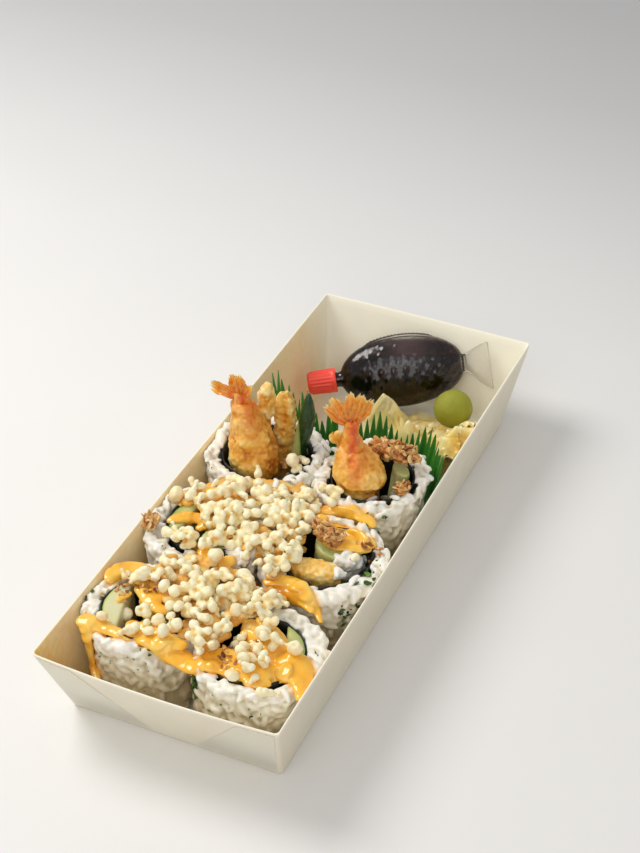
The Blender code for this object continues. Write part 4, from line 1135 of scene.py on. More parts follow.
# Outlines of the heaps as (pixel across, pixel down) in the photo, and how many drops lie in each
HEAPS = {
    "front": [
        ([(152, 560), (186, 556), (216, 561), (236, 573), (262, 588), (283, 596), (286, 607), (262, 613),
          (240, 618), (229, 632), (216, 650), (204, 653), (192, 641), (180, 636), (172, 628), (166, 612),
          (169, 597), (158, 586), (150, 573)], 100),
        ([(236, 618), (262, 612), (283, 606), (284, 622), (272, 640), (280, 650), (262, 668), (244, 678),
          (232, 668), (236, 645)], 9),
        ([(130, 568), (148, 564), (152, 578), (136, 584)], 4),
    ],
    "middle": [
        ([(172, 488), (205, 481), (238, 478), (276, 481), (302, 488), (319, 500), (316, 513), (304, 522),
          (300, 535), (304, 548), (290, 560), (280, 574), (268, 580), (258, 568), (262, 548), (250, 554),
          (238, 541), (225, 536), (212, 531), (206, 522), (203, 508), (186, 505)], 112),
        ([(160, 528), (184, 526), (196, 536), (186, 543), (166, 540)], 5),
        ([(196, 524), (236, 524), (242, 546), (206, 548)], 9),
    ],
}

# Drops that stand out in the photo: (pixel across, pixel down, radius in millimetres, lobes); a long
# one has no lobes
PEARLS = {
    "front": [
        (102, 616, 2.0, 1), (145, 608, 3.6, 3), (125, 614, 2.9, 1), (134, 628, 3.0, 0), (146, 623, 1.7, 1),
        (158.5, 621, 2.7, 1), (148.5, 631, 2.0, 1), (163, 631, 2.6, 1), (177, 628, 3.2, 2),
        (190, 636, 2.6, 2), (127, 574, 2.4, 2), (144, 573, 2.8, 1), (164.5, 586, 2.4, 1), (175, 591, 2.6, 1),
        (160, 572, 3.0, 2), (188, 570, 3.6, 3), (197.5, 587, 2.6, 1), (224, 572, 3.4, 3), (244, 575, 3.6, 0),
        (263, 633, 2.8, 1), (229, 626.5, 1.9, 1), (237.5, 637.5, 1.9, 2), (235.5, 646, 2.3, 1),
        (244.5, 646, 2.0, 1), (259.7, 645.5, 2.5, 2), (273, 646, 2.1, 1), (295, 648, 2.7, 1),
        (251, 657.5, 2.1, 1), (262, 661.5, 2.4, 2), (247.4, 668, 2.4, 1), (255, 677, 2.2, 2),
        (231.6, 675, 2.6, 1), (260, 692, 2.6, 0), (267.6, 616, 2.0, 1), (274, 616.5, 1.5, 1),
        (258, 605, 2.4, 1), (251, 609.5, 2.3, 0), (267, 607, 1.9, 1), (277, 603.5, 2.2, 2),
        (271, 595.5, 1.9, 1), (278, 597, 1.5, 1), (212.8, 645, 2.7, 0), (201, 650, 2.5, 2)],
    "middle": [
        (176.5, 495, 3.2, 1), (189.5, 496, 2.6, 0), (197.5, 501, 1.9, 1), (166, 532, 2.2, 1),
        (176.5, 535, 2.8, 0), (189, 531, 3.4, 3), (215.5, 555.5, 2.8, 1), (221, 532, 2.5, 2),
        (230.5, 531, 1.9, 1), (219, 521, 3.6, 3), (241, 537, 2.6, 3), (249, 546, 2.6, 2),
        (245.7, 556, 1.9, 1), (256, 538.5, 1.9, 1), (212, 506, 3.2, 3), (211, 494.5, 2.8, 0),
        (222.5, 490, 3.4, 2),
        (239.5, 489, 4.0, 4), (238.5, 510, 4.0, 4), (251, 505.5, 2.4, 1), (267, 494, 3.8, 3),
        (314, 509.5, 2.7, 1), (297, 507, 3.0, 3), (283, 507, 3.0, 3), (306, 529, 3.0, 3),
        (316, 524, 1.8, 1), (284, 546, 2.8, 3), (295, 557, 3.8, 0), (272, 559.5, 3.4, 3),
        (273, 572, 2.6, 2), (355.5, 557, 2.4, 2), (164.5, 562.5, 1.8, 1)],
    "back": [
        (303.2, 451, 2.6, 1), (292.4, 460, 2.8, 1), (306, 461, 2.5, 2), (298.7, 469, 2.7, 2),
        (255.5, 489, 2.6, 1), (271, 489, 1.6, 1), (258, 475, 2.3, 0), (331, 490, 3.2, 3),
        (331.5, 502, 2.0, 1), (322, 488, 1.8, 1), (312, 492, 2.0, 2)],
}

# Heights in millimetres between which the heaps stand
HEAP_LOWEST = 28.0
HEAP_HIGHEST = {"front": 42.6, "middle": 43.8}
BED_CRUMBS = 190

# Scattered drops: the share of them up to each kind, its smallest and largest radius, its lobes
DROP_KINDS = ((0.4, 1.6, 2.6, 1), (0.68, 2.3, 3.1, 2), (0.88, 2.9, 3.7, 3), (1.0, 1.8, 2.5, 0))


def pearl_balls(place, radius, lobes, chance):
    """The (place, radius) balls that a drop of batter is grown together from; no lobes is a long one."""
    if lobes == 1:
        return [(place, radius)]
    if lobes == 0:
        way = chance.normal(size=3) * (1, 1, 0.4)
        way /= np.linalg.norm(way)
        bend = np.clip(chance.normal(size=3) * 0.25, -0.09, 0.09)
        return [(place + (way + bend * step) * radius * step * 0.62, radius * (0.8 - 0.14 * step))
                for step in range(4)]
    balls = [(place, radius * 0.66)]
    for _ in range(lobes + 1):
        near, size = balls[chance.integers(len(balls))]
        way = chance.normal(size=3) * (1, 1, 0.5)
        other = radius * chance.uniform(0.34, 0.62)
        balls.append((near + way / np.linalg.norm(way) * (size + other) * 0.72, other))
    return balls


def highest_near(ground, x, y, reach):
    """The highest of five places, one in the middle and four at a reach from it."""
    around = ((0, 0), (reach, 0), (-reach, 0), (0, reach), (0, -reach))
    return max(ground.top(x + dx, y + dy, HEAP_LOWEST) for dx, dy in around)


def rest_height(ground, placed, x, y, radius):
    """Where a drop's centre comes to rest on what lies below it and on the drops before it."""
    z = highest_near(ground, x, y, radius / 2) + 0.7 * radius
    for ox, oy, oz, other, _ in placed:
        apart = math.hypot(x - ox, y - oy)
        touch = 0.8 * (radius + other)
        if apart < touch:
            z = max(z, oz + math.sqrt(touch * touch - apart * apart))
    return z


def pearl_under_pixel(ground, placed, px, py, radius, lobes):
    """A drop that rests where the camera sees it at a pixel; a heap below it moves it nearer."""
    seen = ground.seen(px, py)
    if not seen:
        return None
    place = seen[0]
    for _ in range(3):
        z = min(rest_height(ground, placed, place.x, place.y, radius), seen[0].z + 7 + radius)
        place = at_height(px, py, z)
    return place.x, place.y, z, radius, lobes


def boxed_pixel(outline, chance):
    """A random pixel of the box round an outline."""
    return [chance.uniform(min(places), max(places)) for places in zip(*outline)]


def drop_pearls(outline, ground, chance, count, placed, highest):
    """Drops scattered inside an outline in the photo, the heap lower along its edge."""
    wanted = len(placed) + count
    for _ in range(count * 30):
        if len(placed) == wanted:
            break
        px, py = boxed_pixel(outline, chance)
        if not inside_outline(outline, px, py):
            continue
        drawn = chance.random()
        small, large, lobes = next(kind[1:] for kind in DROP_KINDS if drawn < kind[0])
        radius = chance.uniform(small, large)
        made = pearl_under_pixel(ground, placed, px, py, radius, lobes)
        around = ((px + 9, py), (px - 9, py), (px, py + 7), (px, py - 7))
        deep = sum(inside_outline(outline, *pixel) for pixel in around)
        if made and made[2] + radius < highest - 1.2 * (4 - deep):
            placed.append(made)


def crunch_bed(outline, ground, chance, ball):
    """Crumbs and sauce grown together below the drops, over the gaps between the fillings."""
    parts = []
    while len(parts) < BED_CRUMBS:
        px, py = boxed_pixel(outline, chance)
        seen = ground.seen(px, py) if inside_outline(outline, px, py) else None
        if not seen:
            continue
        x, y, z = seen[0]
        place = at_height(px, py, min(highest_near(ground, x, y, 3), z + 5) - 0.3)
        size = chance.uniform(1.9, 3.0)
        parts.append((ball[0] * (size, size, 1.4) + np.array(place), ball[1], 0.0))
    points, faces = grown_together(parts, BED_VOXEL, 2)
    lift = 0.5 * lattice_noise(points, 2.2, 4) + 0.2 * lattice_noise(points, 0.9, 6)
    return raised(points, faces, lift), faces


def build_crunch(ground, sauce):
    """Each heap: a bed with its drops on it; the drops between the back rolls have no bed."""
    chance = np.random.default_rng(7)
    ball = unit_ball(2)
    for name in ("front", "middle", "back"):
        beds = Ground()
        beds.trees = list(ground.trees)
        parts, blushes = [], []
        placed = []
        if name in HEAPS:
            points, faces = crunch_bed(HEAPS[name][0][0], ground, chance, ball)
            beds.add(points, faces)
            parts.append((points, faces, 0.22 + 0.25 * lattice_noise(points, 3.0, 8)))
            blushes.append(np.clip(0.45 + 0.9 * lattice_noise(points, 4.2, 2), 0, 0.9))
        for px, py, radius, lobes in PEARLS[name]:
            placed.append(pearl_under_pixel(beds, [], px, py, radius, lobes))
        for outline, count in HEAPS.get(name, ()):
            drop_pearls(outline, beds, chance, count, placed, HEAP_HIGHEST[name])
        balls = []
        for x, y, z, radius, lobes in placed:
            for place, size in pearl_balls(np.array((x, y, z)), radius, lobes, chance):
                squash = chance.uniform(0.8, 1.16, 3)
                balls.append((ball[0] * size * squash + place, ball[1], 0.0))
        points, faces = grown_together(balls, PEARL_VOXEL, 1)
        lumps = 0.34 * lattice_noise(points, 1.9, 3) + 0.12 * lattice_noise(points, 0.8, 5)
        points = raised(points, faces, lumps)
        crease = np.clip(hollows(points, faces), -0.15, 0.3)
        # Painted shade: darker in the creases between the drops.
        tone = 0.66 + 0.16 * lattice_noise(points, 3.6, 9) - 1.3 * crease
        # Blush: a real sauce stain near the sauce and in patches, and painted golden shade in the creases.
        stain_and_shade = 0.7 * near_sauce(points, sauce, 1.3) + 1.6 * np.maximum(crease, 0)
        stain_and_shade += 0.4 * ease((lattice_noise(points, 5.0, 12) - 0.3) / 0.5)
        parts.append((points, faces, tone))
        blushes.append(np.clip(stain_and_shade, 0, 0.9))
        points, faces, tone = joined(parts)
        add_piece("crunch_pearls_" + name, points, faces, "crunch", tone,
                  ["crunch_" + name] if name in HEAPS else (), blush=np.concatenate(blushes))


# Flakes and herbs


# How many shards each lump carries
FLAKE_SHARDS = {
    "fried_flakes_back_right": 150,
    "fried_flake_back_right": 34,
    "fried_flake_middle_left": 40,
    "fried_flake_middle_right": 90,
}


def shard_templates(chance, count=6):
    """Thin crisp shards, bent and ragged."""
    directions, faces = unit_ball(2)
    templates = []
    for index in range(count):
        ragged = 1 + 0.38 * lattice_noise(directions, 0.55, index + 3)
        points = directions * ragged[:, None] * (1.0, chance.uniform(0.45, 0.8), 0.16)
        points[:, 2] += chance.uniform(0.2, 0.6) * points[:, 0] ** 2 - chance.uniform(0, 0.3) * points[:, 1]
        templates.append((points, faces))
    return templates


def laid_shard(shard, way, lean, sizes, tones, chance):
    """A shard turned to lie along a surface, its faces, its tone as (middle, spread), and its size."""
    points, faces = shard
    turn = facing_matrix(Vector(way) + Vector(chance.uniform(-lean, lean, 3)), chance.uniform(0, TAU))
    size = chance.uniform(*sizes)
    return (points * size) @ turn.T, faces, np.clip(chance.normal(*tones), 0, 1), size


def build_flakes(ground):
    """Each lump: a craggy core stuck all over with shards."""
    chance = np.random.default_rng(11)
    templates = shard_templates(chance)
    for number, (name, count) in enumerate(FLAKE_SHARDS.items()):
        rough_points, rough_faces = node_arrays(name)
        points, faces = remeshed(rough_points, rough_faces, 0.35, 3)
        crags = 1.2 * lattice_noise(points, 2.4, number) + 0.5 * lattice_noise(points, 1.0, number) - 0.9
        points = raised(points, faces, crags)
        # Painted shade: the sunken core between the shards is darker, its raised crags lighter.
        parts = [(points, faces, 0.35 + 0.3 * crags)]
        places, ways = sample_surface(rough_points, rough_faces, count, chance)
        for index, (spot, way) in enumerate(zip(places, ways)):
            shard, shard_faces, tone, _ = laid_shard(
                templates[index % len(templates)], way, 0.8, (1.1, 2.6), (0.58, 0.25), chance)
            parts.append((shard + spot - way * 0.5, shard_faces, tone))
        points, faces, tone = joined(parts)
        add_piece("crisp_" + name, points, faces, "flake", tone, [name])
    build_loose_flakes(ground, chance, templates)


# Loose flakes: where they lie as (x, y), how far they spread, how many
LOOSE_FLAKES = [(-33, -84, 5, 14), (-28, -80, 4, 12), (-22, -81, 3.5, 8), (14.5, -100.5, 3.5, 12),
                (21, -87, 3, 10), (11, -93.5, 3.5, 8), (7.5, -79.5, 3.5, 10), (36.8, -26.8, 3.0, 10),
                (41.5, -24.5, 2.4, 8), (-36.5, -17.5, 2.5, 7), (-29.5, -18.2, 2.2, 6), (-20, -38.5, 2.6, 8),
                (-12.5, 14.5, 3.2, 16), (-15.5, 12.0, 3.0, 14), (24, -20, 2, 5), (-8, -44, 2.4, 6)]


def build_loose_flakes(ground, chance, templates):
    """Shards scattered flat over what lies below them."""
    parts = []
    for x, y, spread, count in LOOSE_FLAKES:
        for _ in range(count):
            px, py = (middle + chance.normal(0, spread / 2) for middle in (x, y))
            shard, shard_faces, tone, size = laid_shard(
                templates[chance.integers(len(templates))], (0, 0, 1), 0.7, (0.7, 1.5), (0.4, 0.25), chance)
            spot = (px, py, ground.top(px, py, 30.0) + 0.35 * size)
            parts.append((shard + spot, shard_faces, tone))
    points, faces, tone = joined(parts)
    add_piece("loose_flakes", points, faces, "flake", tone)


# Herb flecks: the middle of each patch as (x, y, z), its spread, how many, and their size
HERB_PATCHES = [
    (2.5, -111.0, 27, 2.6, 16, 1.3), (4.0, -109.5, 22, 2.2, 10, 1.4), (39, -46, 30, 4.0, 16, 1.0),
    (42, -38, 31, 4.5, 26, 1.1), (44, -31, 31, 3.0, 14, 0.9), (39.5, -53, 26, 4.0, 10, 0.9),
    (41, -84, 29, 4.0, 7, 0.8), (-43, -90, 33, 3.0, 6, 0.9), (-30, -112, 28, 7.0, 9, 0.45),
    (-14, -112, 24, 8.0, 9, 0.5), (18, -113, 26, 8.0, 9, 0.5), (30, -108, 25, 6.0, 8, 0.6),
    (-34, -60, 33, 7.0, 7, 0.4), (33, -8, 33, 7.0, 8, 0.5), (-12, -108, 34, 3.0, 6, 0.9),
    (37, -12, 33, 3.0, 4, 0.9), (43, 12, 32, 3.5, 5, 0.5), (-40, -7, 33, 5.0, 5, 0.4),
]


def build_herbs(ground):
    """Chopped herb flecks stuck to the rice."""
    chance = np.random.default_rng(23)
    templates = shard_templates(chance, 4)
    parts = []
    for x, y, z, spread, count, size in HERB_PATCHES:
        for _ in range(count):
            spot = [middle + chance.normal(0, spread / 2) for middle in (x, y, z)]
            place, normal, _ = ground.nearest(spot)
            shard, shard_faces, tone, _ = laid_shard(
                templates[chance.integers(len(templates))], normal, 0.3, (0.5, 1.5), (0.4, 0.3), chance)
            parts.append((shard * size + np.array(place + normal * 0.45), shard_faces, tone))
    points, faces, tone = joined(parts)
    keep_inside(points, 0.1)
    add_piece("herb_flecks", points, faces, "herb", tone)


# Leaf divider


# Each strip: its route as (foot x, foot y, head x, head y) and its peaks as (along, height, slope
# before, slope after)
LEAVES = {
    "leaf_left": (
        [(-38.5, 46.5, -43.5, 49.0), (-31, 42.5, -34.5, 47.0), (-22, 39.5, -24.5, 43.5),
         (-13, 38.0, -14.5, 41.0), (-4, 37.5, -4.5, 40.5)],
        ((9.6, 49.5, 2.4, 0.95), (24.7, 47.5, 2.6, 1.6), (38.0, 46.5, 2.5, 3.0))),
    "leaf_right": (
        [(-1, 38.5, -1.5, 42.5), (8, 40.5, 8.5, 46.0), (20, 41.0, 22.0, 46.5), (30, 39.0, 33.5, 44.0),
         (36.4, 32.0, 41.6, 35.5), (39.6, 23.0, 45.0, 24.5), (40.0, 13.0, 45.6, 13.0)],
        ((13.4, 42.5, 0.9, 1.05), (34.7, 42.5, 0.9, 0.6), (53.0, 41.5, 0.8, 1.0))),
}


def leaf_tip(run, peaks):
    """The height that the spikes reach at a distance along a strip."""
    tip = max(height - (before if run < place else after) * abs(run - place)
              for place, height, before, after in peaks)
    return max(tip, 26.0)


def build_leaves(thick=0.3, tooth=2.5):
    """Thin strips whose upper edge is cut into long narrow spikes, taller in groups."""
    levels = 18
    for name, (route, peaks) in LEAVES.items():
        path = smooth_path(route, 66)
        run = [0.0]
        for before, after in zip(path, path[1:]):
            run.append(run[-1] + math.hypot(after[2] - before[2], after[3] - before[3]))
        front, back, tones = [], [], []
        for i, (foot_x, foot_y, head_x, head_y) in enumerate(path):
            before, after = path[max(i - 1, 0)], path[min(i + 1, len(path) - 1)]
            way = Vector((after[2] - before[2], after[3] - before[3]))
            side = Vector((-way.y, way.x)).normalized()
            phase = (run[i] / tooth) % 1.0
            within = phase / 0.35 if phase < 0.35 else (1 - phase) / 0.65
            apex = leaf_tip(run[i] - (phase - 0.35) * tooth, peaks)
            deep = 6.5 + 0.2 * max(apex - 30, 0)
            top = apex - deep * (1 - within) ** 1.15
            curl = 0.5 * math.sin(1.3 * run[i]) + 0.9 * math.sin(0.33 * run[i] + 1)
            for k in range(levels):
                z = mix(FLOOR, top, k / (levels - 1))
                share = z / 34.0
                out = curl * max(share - 0.4, 0) * 1.2
                x = mix(foot_x, head_x, share) + side.x * out
                y = mix(foot_y, head_y, share) + side.y * out
                front.append((x + side.x * thick / 2, y + side.y * thick / 2, z))
                back.append((x - side.x * thick / 2, y - side.y * thick / 2, z))
                tones.append(0.42 + 0.14 * math.cos(TAU * phase) + 0.3 * share - 0.15)
        points, faces = sheet(np.array(front), np.array(back), len(path), levels)
        keep_inside(points, 0.3)
        add_piece("cut_" + name, points, faces, "leaf", np.array(tones * 2), [name], sharp=40)


# Ginger and wasabi


def ginger_height(x, y, layer):
    """The crumpled surface of a slice; each layer adds a fold to those below it."""
    ripple = 0.9 * np.sin(0.42 * x + 0.3 * y) * np.cos(0.36 * y - 0.2 * x)
    height = 2.4 + ripple + 3.0 * ease((x - 24) / 18) + layer * 2.6
    if layer >= 1:
        reach = np.where(x > 4, 24.0, 14.0)
        away = np.hypot((x - 4) / reach, (y - 69) / 14.0)
        height = height + 27.0 * np.maximum(1 - away, 0) ** 1.1
    if layer >= 2:
        height = height + 15.0 * ease((x - 22) / 18) * np.exp(-(((y - 66) / 18) ** 2))
    if layer >= 3:
        height = height + 8.0 * np.exp(-(((x - 21) / 13) ** 2) - (((y - 59) / 8) ** 2))
    return height


# Each slice and its folds: centre as (x, y), radii, turn in degrees, layer, lift
GINGER = {
    "ginger_slice_1": [((13, 79), (27, 23), 10, 0, 0.0), ((-2, 74), (12, 9), 30, 0, 1.4),
                       ((24, 84), (14, 9), -20, 0, 1.6), ((8, 90), (12, 7), 10, 0, 1.2)],
    "ginger_slice_2": [((9, 67), (20, 13), -15, 1, 0.0), ((4, 66), (9, 8), 40, 1, 1.0),
                       ((17, 72), (10, 8), 10, 1, 1.2)],
    "ginger_slice_3": [((32, 68), (17, 13), 70, 2, 0.0), ((36, 78), (10, 7), 60, 2, 1.2),
                       ((31, 62), (9, 7), 20, 2, 1.3)],
    "ginger_slice_4": [((25, 59), (17, 8), -12, 3, 0.0), ((34, 57), (9, 6), 0, 3, 1.3),
                       ((17, 58), (9, 6), -20, 3, 1.2)],
}


def ginger_sheet(centre, radii, turn, layer, lift, seed, rings=36, around=132, thick=0.75):
    """A thin slice with folds all over and a frilled edge."""
    turned = math.radians(turn)
    angles, shares = np.meshgrid(np.arange(around) * TAU / around, np.linspace(0.02, 1, rings))
    angles, shares = angles.ravel(), shares.ravel()
    wave = 1 + shares * (0.09 * np.sin(4 * angles + layer) + 0.05 * np.sin(9 * angles + seed))
    along = radii[0] * wave * shares * np.cos(angles)
    across = radii[1] * wave * shares * np.sin(angles)
    x = centre[0] + along * math.cos(turned) - across * math.sin(turned)
    y = np.maximum(centre[1] + along * math.sin(turned) + across * math.cos(turned), 50.2 + 0.4 * shares)
    flat = np.stack([x, y, np.zeros_like(x)], 1)
    along_fold = flat @ np.array(((0.5, -0.86, 0), (0.25, 0.14, 0), (0, 0, 1))).T
    folds = 1.7 * (1 - 2.6 * np.abs(lattice_noise(along_fold, 4.6, seed)))
    folds = folds + 0.6 * (1 - 2 * np.abs(lattice_noise(flat, 4.0, seed + 3)))
    frill = 1.5 * shares**4 * np.sin(13 * angles + 2 * np.sin(3 * angles + seed))
    z = ginger_height(x, y, layer) + lift + 0.8 * folds + frill
    z = np.maximum(z, FLOOR + 0.3 + 0.4 * layer)
    limit = inner_wall(z) - 0.5
    x = np.clip(x, -limit, limit)
    low = np.stack([x, y, z], 1)
    normals = vertex_normals(low, triangles(grid_faces(rings, around, closed=True)))
    normals *= np.sign(normals[:, 2:3] + 1e-9)
    size = rings * around
    high = low + normals * (thick * (1 - 0.55 * shares**3))[:, None]
    high[:, 0] = np.clip(high[:, 0], -limit - 0.3, limit + 0.3)
    upper = grid_faces(rings, around, closed=True)
    outer = (rings - 1) * around
    faces = [tuple(face) for face in upper + size] + [tuple(face[::-1]) for face in upper]
    for j in range(around):
        after = (j + 1) % around
        faces.append((outer + j, outer + after, size + outer + after, size + outer + j))
        faces.append((after, j, size + j, size + after))
    # Painted shade in the valleys between the folds and painted light on their ridges; paler towards the
    # frilled rim.
    tone = 0.5 + 0.2 * np.clip(folds, -1.6, 1.6) + 0.16 * shares**3
    return np.concatenate([low, high]), np.array(faces), np.concatenate([tone, tone])


def build_ginger():
    for number, (name, slices) in enumerate(GINGER.items()):
        parts = []
        for index, (centre, radii, turn, layer, lift) in enumerate(slices):
            parts.append(ginger_sheet(centre, radii, turn, layer, lift, 5 * number + index + 1))
        points, faces, tone = joined(parts)
        add_piece("folded_" + name, points, faces, "ginger", tone, [name])


def build_wasabi():
    """A pressed ball with the seam of its mould."""
    directions, faces = unit_ball(5)
    low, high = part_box("wasabi")
    centre = np.array((low + high) / 2) / METRES
    half = np.array(high - low) / 2 / METRES
    points = directions * half * (1 + 0.02 * lattice_noise(directions, 0.5, 3)
                                  + 0.008 * lattice_noise(directions, 0.14, 4))[:, None]
    seam = np.exp(-((directions[:, 2] - 0.25 * directions[:, 0] + 0.1) / 0.035) ** 2)
    points *= (1 - 0.012 * seam)[:, None]
    # Painted light: paler on top, darker underneath.
    add_piece("wasabi_ball", points + centre, faces, "wasabi",
              0.5 + 0.25 * directions[:, 2], ["wasabi"])


# Soy sauce fish


FISH_CENTRE = Vector((-2.0, 105.5, 20.6))
FISH_YAW = math.radians(27)
FISH_RISE = math.radians(8)
FISH_LEAN = math.radians(58)
FISH_LENGTH = 54.0
FISH_WIDTH = 31.0
FISH_THICKNESS = 19.0
FISH_WALL = 0.9
NOZZLE_RADIUS = 3.2
NOZZLE_LENGTH = 9.0
CAP_RADIUS = 5.4
CAP_LENGTH = 12.5
SOY_LEVEL = 30.6
FISH_HALF = FISH_LENGTH / 2
FISH_MOUTH = -FISH_HALF - NOZZLE_LENGTH
NOZZLE_BORE = NOZZLE_RADIUS - FISH_WALL


def fish_axes():
    """Along the body to its tail, towards its back, and out of its flank."""
    along = Vector((math.cos(FISH_YAW) * math.cos(FISH_RISE), math.sin(FISH_YAW) * math.cos(FISH_RISE),
                    math.sin(FISH_RISE)))
    level = Vector((-math.sin(FISH_YAW), math.cos(FISH_YAW), 0))
    back = level * math.cos(FISH_LEAN) + Vector((0, 0, 1)) * math.sin(FISH_LEAN)
    back = (back - along * back.dot(along)).normalized()
    return along, back, along.cross(back)


def fish_share(points):
    """Where points lie along the body: -1 at its nozzle end, 1 at its tail."""
    return (points - np.array(FISH_CENTRE)) @ np.array(fish_axes()[0]) / FISH_HALF


def fish_ring(place, half_width, half_thick, bend=0.0, count=96, relief=None):
    """A ring round the body; bend moves it on into the tail, relief raises its points."""
    along, back, out = (np.array(axis) for axis in fish_axes())
    tail_way = np.array((math.cos(math.radians(9)), math.sin(math.radians(9)), 0.06))
    centre = np.array(FISH_CENTRE) + along * place + tail_way * bend
    angles = np.arange(count) * TAU / count
    swell = np.zeros(count) if relief is None else relief(place, angles)
    wide = (half_width + swell)[:, None] if relief else half_width
    thick = (half_thick + swell)[:, None] if relief else half_thick
    return centre + wide * np.cos(angles)[:, None] * back + thick * np.sin(angles)[:, None] * out


def body_size(share):
    """Half the body's width and thickness, never less than the nozzle's."""
    bulge = math.sqrt(max(1 - share * share, 0)) ** 0.92
    return (max(FISH_WIDTH / 2 * bulge, NOZZLE_RADIUS + 0.3),
            max(FISH_THICKNESS / 2 * bulge, NOZZLE_RADIUS + 0.2))


def scales(place, angles):
    """Raised scales over the flanks, a gill line, and a row of fin ribs along the back."""
    share = place / FISH_HALF
    flank = np.abs(np.sin(angles)) ** 2
    column = place / 2.6
    row = angles * 6.2 + (math.floor(column) % 2) * 0.5 * math.pi
    bump = np.maximum(np.sin(math.pi * (column % 1)), 0) * np.maximum(np.cos(row * 2), 0)
    body = float(ease((0.82 - abs(share - 0.12)) / 0.12))
    gill = math.exp(-(((share + 0.52) / 0.03) ** 2))
    fin = np.exp(-(np.minimum(angles, TAU - angles) / 0.16) ** 2) * float(ease((0.6 - abs(share)) / 0.15))
    return 0.5 * bump * flank * body + 0.3 * gill * flank + 0.8 * fin * (0.75 + 0.25 * math.sin(place * 4))


def fish_rings(start, radius, steps, wall, shares, relief=None):
    """Rings along the nozzle from a start, then along the body at a depth inside its outer face."""
    rings = [fish_ring(place, radius, radius) for place in np.linspace(start, -FISH_HALF - 0.6, steps)]
    return rings + [fish_ring(FISH_HALF * share, *(size - wall for size in body_size(share)), relief=relief)
                    for share in shares]


def build_fish():
    """The bottle: its outside with the tail's flat fin, and its inside."""
    outside = fish_rings(FISH_MOUTH, NOZZLE_RADIUS, 5, 0, np.linspace(-0.985, 0.955, 88), scales)
    tail = smooth_path([(4.6, 2.6, 0.0), (3.7, 1.9, 1.0), (5.2, 1.1, 3.8), (8.2, 0.8, 8.2),
                        (10.4, 0.7, 12.6)], 6)
    outside += [fish_ring(FISH_HALF * 0.96, wide * (1 - 0.03 * math.cos(bend * 3)),
                          thick + 0.14 * math.sin(bend * 5), bend) for wide, thick, bend in tail]
    inside = fish_rings(FISH_MOUTH, NOZZLE_BORE, 4, FISH_WALL, np.linspace(-0.985, 0.93, 60))
    points, faces = lofted(outside[::-1] + inside)
    place = fish_share(points)
    film = 0.95 * ease((0.99 - place) / 0.1) * ease((place + 1.5) / 0.2)
    bubble = 0.8 * np.exp(-((place - 0.12) / 0.42) ** 2) * ease((points[:, 2] - SOY_LEVEL + 4) / 3)
    add_piece("fish_bottle", points, faces, "clear_plastic", 0.6, ["soy_fish_bottle"],
              blush=film * (1 - bubble))
    build_soy()
    build_cap()


def build_soy():
    """The sauce up to its level, reaching just into the bottle's wall."""
    points, faces = lofted(fish_rings(
        FISH_MOUTH + 2, NOZZLE_BORE + 0.1, 4, FISH_WALL - 0.12, np.linspace(-0.985, 0.93, 70)))
    bm = bmesh.new()
    verts = [bm.verts.new(point) for point in points]
    for face in faces:
        bm.faces.new([verts[index] for index in face])
    cut = bmesh.ops.bisect_plane(bm, geom=bm.verts[:] + bm.edges[:] + bm.faces[:],
                                 plane_co=(0, 0, SOY_LEVEL), plane_no=(0, 0, 1), clear_outer=True)
    edges = [item for item in cut["geom_cut"] if isinstance(item, bmesh.types.BMEdge)]
    bmesh.ops.contextual_create(bm, geom=edges)
    bmesh.ops.triangulate(bm, faces=bm.faces)
    bmesh.ops.recalc_face_normals(bm, faces=bm.faces)
    points, faces = freed_arrays(bm)
    place = fish_share(points)
    tone = 0.1 + 0.75 * ease((np.abs(place) - 0.6) / 0.5)
    tone += 0.5 * ease((points[:, 2] - SOY_LEVEL + 1.6) / 1.6)
    add_piece("soy_liquid", points, faces, "soy_sauce", tone, ["soy_sauce"], sharp=50)


def build_cap(around=120):
    """A ribbed screw cap with soft edges."""
    front = FISH_MOUTH - 5.5

    def ribs(place, angles):
        deep = float(ease((place - front - 0.8) / 1.2) * ease((front + CAP_LENGTH - 1.6 - place) / 0.8))
        return 0.16 * deep * np.cos(20 * angles)

    profile = [(0.0, 0.60), (0.15, 0.76), (0.5, 0.84), (1.1, 0.88)]
    profile += [(float(place), mix(0.90, 0.97, place / CAP_LENGTH))
                for place in np.linspace(2, CAP_LENGTH - 2, 10)]
    profile += [(CAP_LENGTH - 1.5, 0.98), (CAP_LENGTH - 1.2, 1.0), (CAP_LENGTH - 0.3, 1.0),
                (CAP_LENGTH, 0.96)]
    rings = [fish_ring(front + place, CAP_RADIUS * size, CAP_RADIUS * size, count=around, relief=ribs)
             for place, size in profile]
    hollow = NOZZLE_RADIUS + 0.15
    rings += [fish_ring(place, hollow, hollow, count=around)
              for place in np.linspace(front + CAP_LENGTH, FISH_MOUTH - 0.5, 4)]
    points, faces = lofted(rings)
    add_piece("bottle_cap", points, faces[:, ::-1], "red_plastic", 0.7, ["soy_fish_cap"], sharp=50)


# Stage


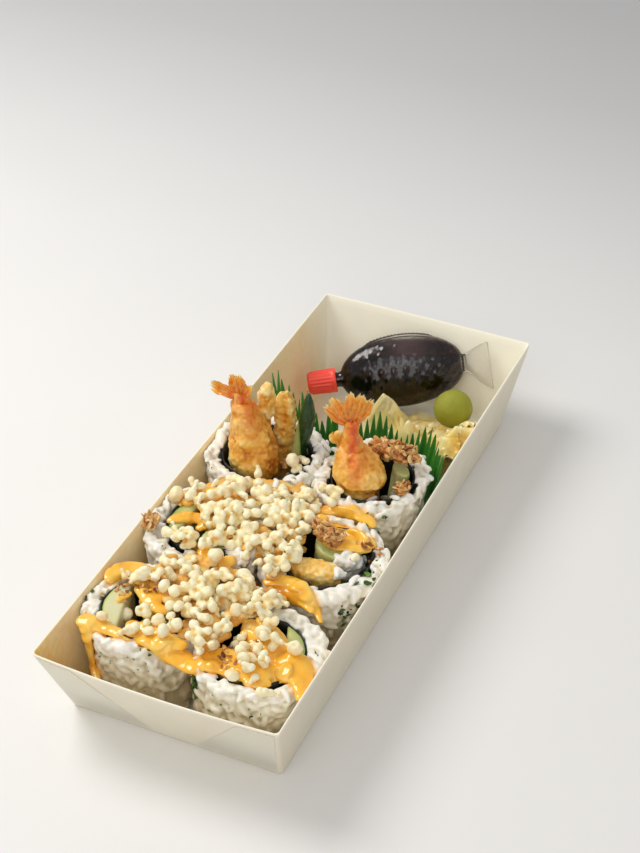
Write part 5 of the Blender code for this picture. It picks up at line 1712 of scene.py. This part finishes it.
def build_stage():
    """A pale floor with painted shade: darker far behind the tray, where the light falls off."""
    reach, near, far = 1600.0, 60, 540
    places = np.array([-reach, *np.linspace(near, far, 5), reach])
    # Painted shade: the floor darkens with distance behind the tray.
    painted_falloff = 1 - ease((places - near) / (far - near))
    points = np.array([(x, y, 0) for y in places for x in (-reach, reach)])
    mesh = plain_mesh("floor", points, grid_faces(len(places), 2))
    set_values(mesh, "tone", np.repeat(painted_falloff, 2))
    mesh.materials.append(materials["paper_floor"])
    linked("floor", mesh)


def add_light(name, place, target, size, power, shade):
    """A round lamp of a size in millimetres and a power in watts."""
    data = bpy.data.lights.new(name, "AREA")
    data.shape = "DISK"
    data.size = size * METRES
    data.energy = power
    data.color = shade
    light = linked(name, data)
    light.location = Vector(place) * METRES
    light.rotation_euler = (Vector(target) - Vector(place)).to_track_quat("-Z", "Y").to_euler()


def build_lights():
    world = bpy.data.worlds.new("studio")
    bpy.context.scene.world = world
    world.use_nodes = True
    sky = world.node_tree.nodes["Background"]
    sky.inputs["Color"].default_value = (1.0, 0.985, 0.965, 1.0)
    sky.inputs["Strength"].default_value = 0.50
    add_light("key", (-640, 60, 760), (0, -20, 10), size=520, power=5.7, shade=(1.0, 0.98, 0.95))
    add_light("fill", (200, -900, 760), (0, 0, 10), size=900, power=3.4, shade=(1.0, 0.99, 0.98))
    bpy.context.scene.view_settings.view_transform = "Standard"


def build_camera():
    data = bpy.data.cameras.new("photo camera")
    data.lens = CAMERA_LENS
    data.sensor_width = CAMERA_SENSOR
    data.clip_start = 0.01
    camera = linked("photo camera", data)
    right, up, forward = Vector(CAMERA_RIGHT), Vector(CAMERA_UP), Vector(CAMERA_FORWARD)
    turn = Matrix((right, up, -forward)).transposed().to_4x4()
    camera.matrix_world = Matrix.Translation(Vector(CAMERA_PLACE) * METRES) @ turn
    bpy.context.scene.camera = camera


def find_ground(*kinds):
    """The CAD forms of some kinds, to lay other things on."""
    ground = Ground()
    for name in sorted(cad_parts):
        if name.split("_")[0] in kinds:
            ground.add(*node_arrays(name))
    return ground


def main():
    build_camera()
    build_lights()
    build_stage()
    build_tray()
    under = find_ground("rice", "cucumber", "avocado", "prawn", "seaweed", "tempura")
    sauce = build_sauce(under)
    build_rice(sauce)
    build_loose_rice(under)
    build_seaweed()
    build_fillings()
    build_tails()
    under.trees += sauce.trees
    build_crunch(under, sauce)
    build_flakes(under)
    build_herbs(find_ground("rice"))
    build_leaves()
    build_ginger()
    build_wasabi()
    build_fish()


main()
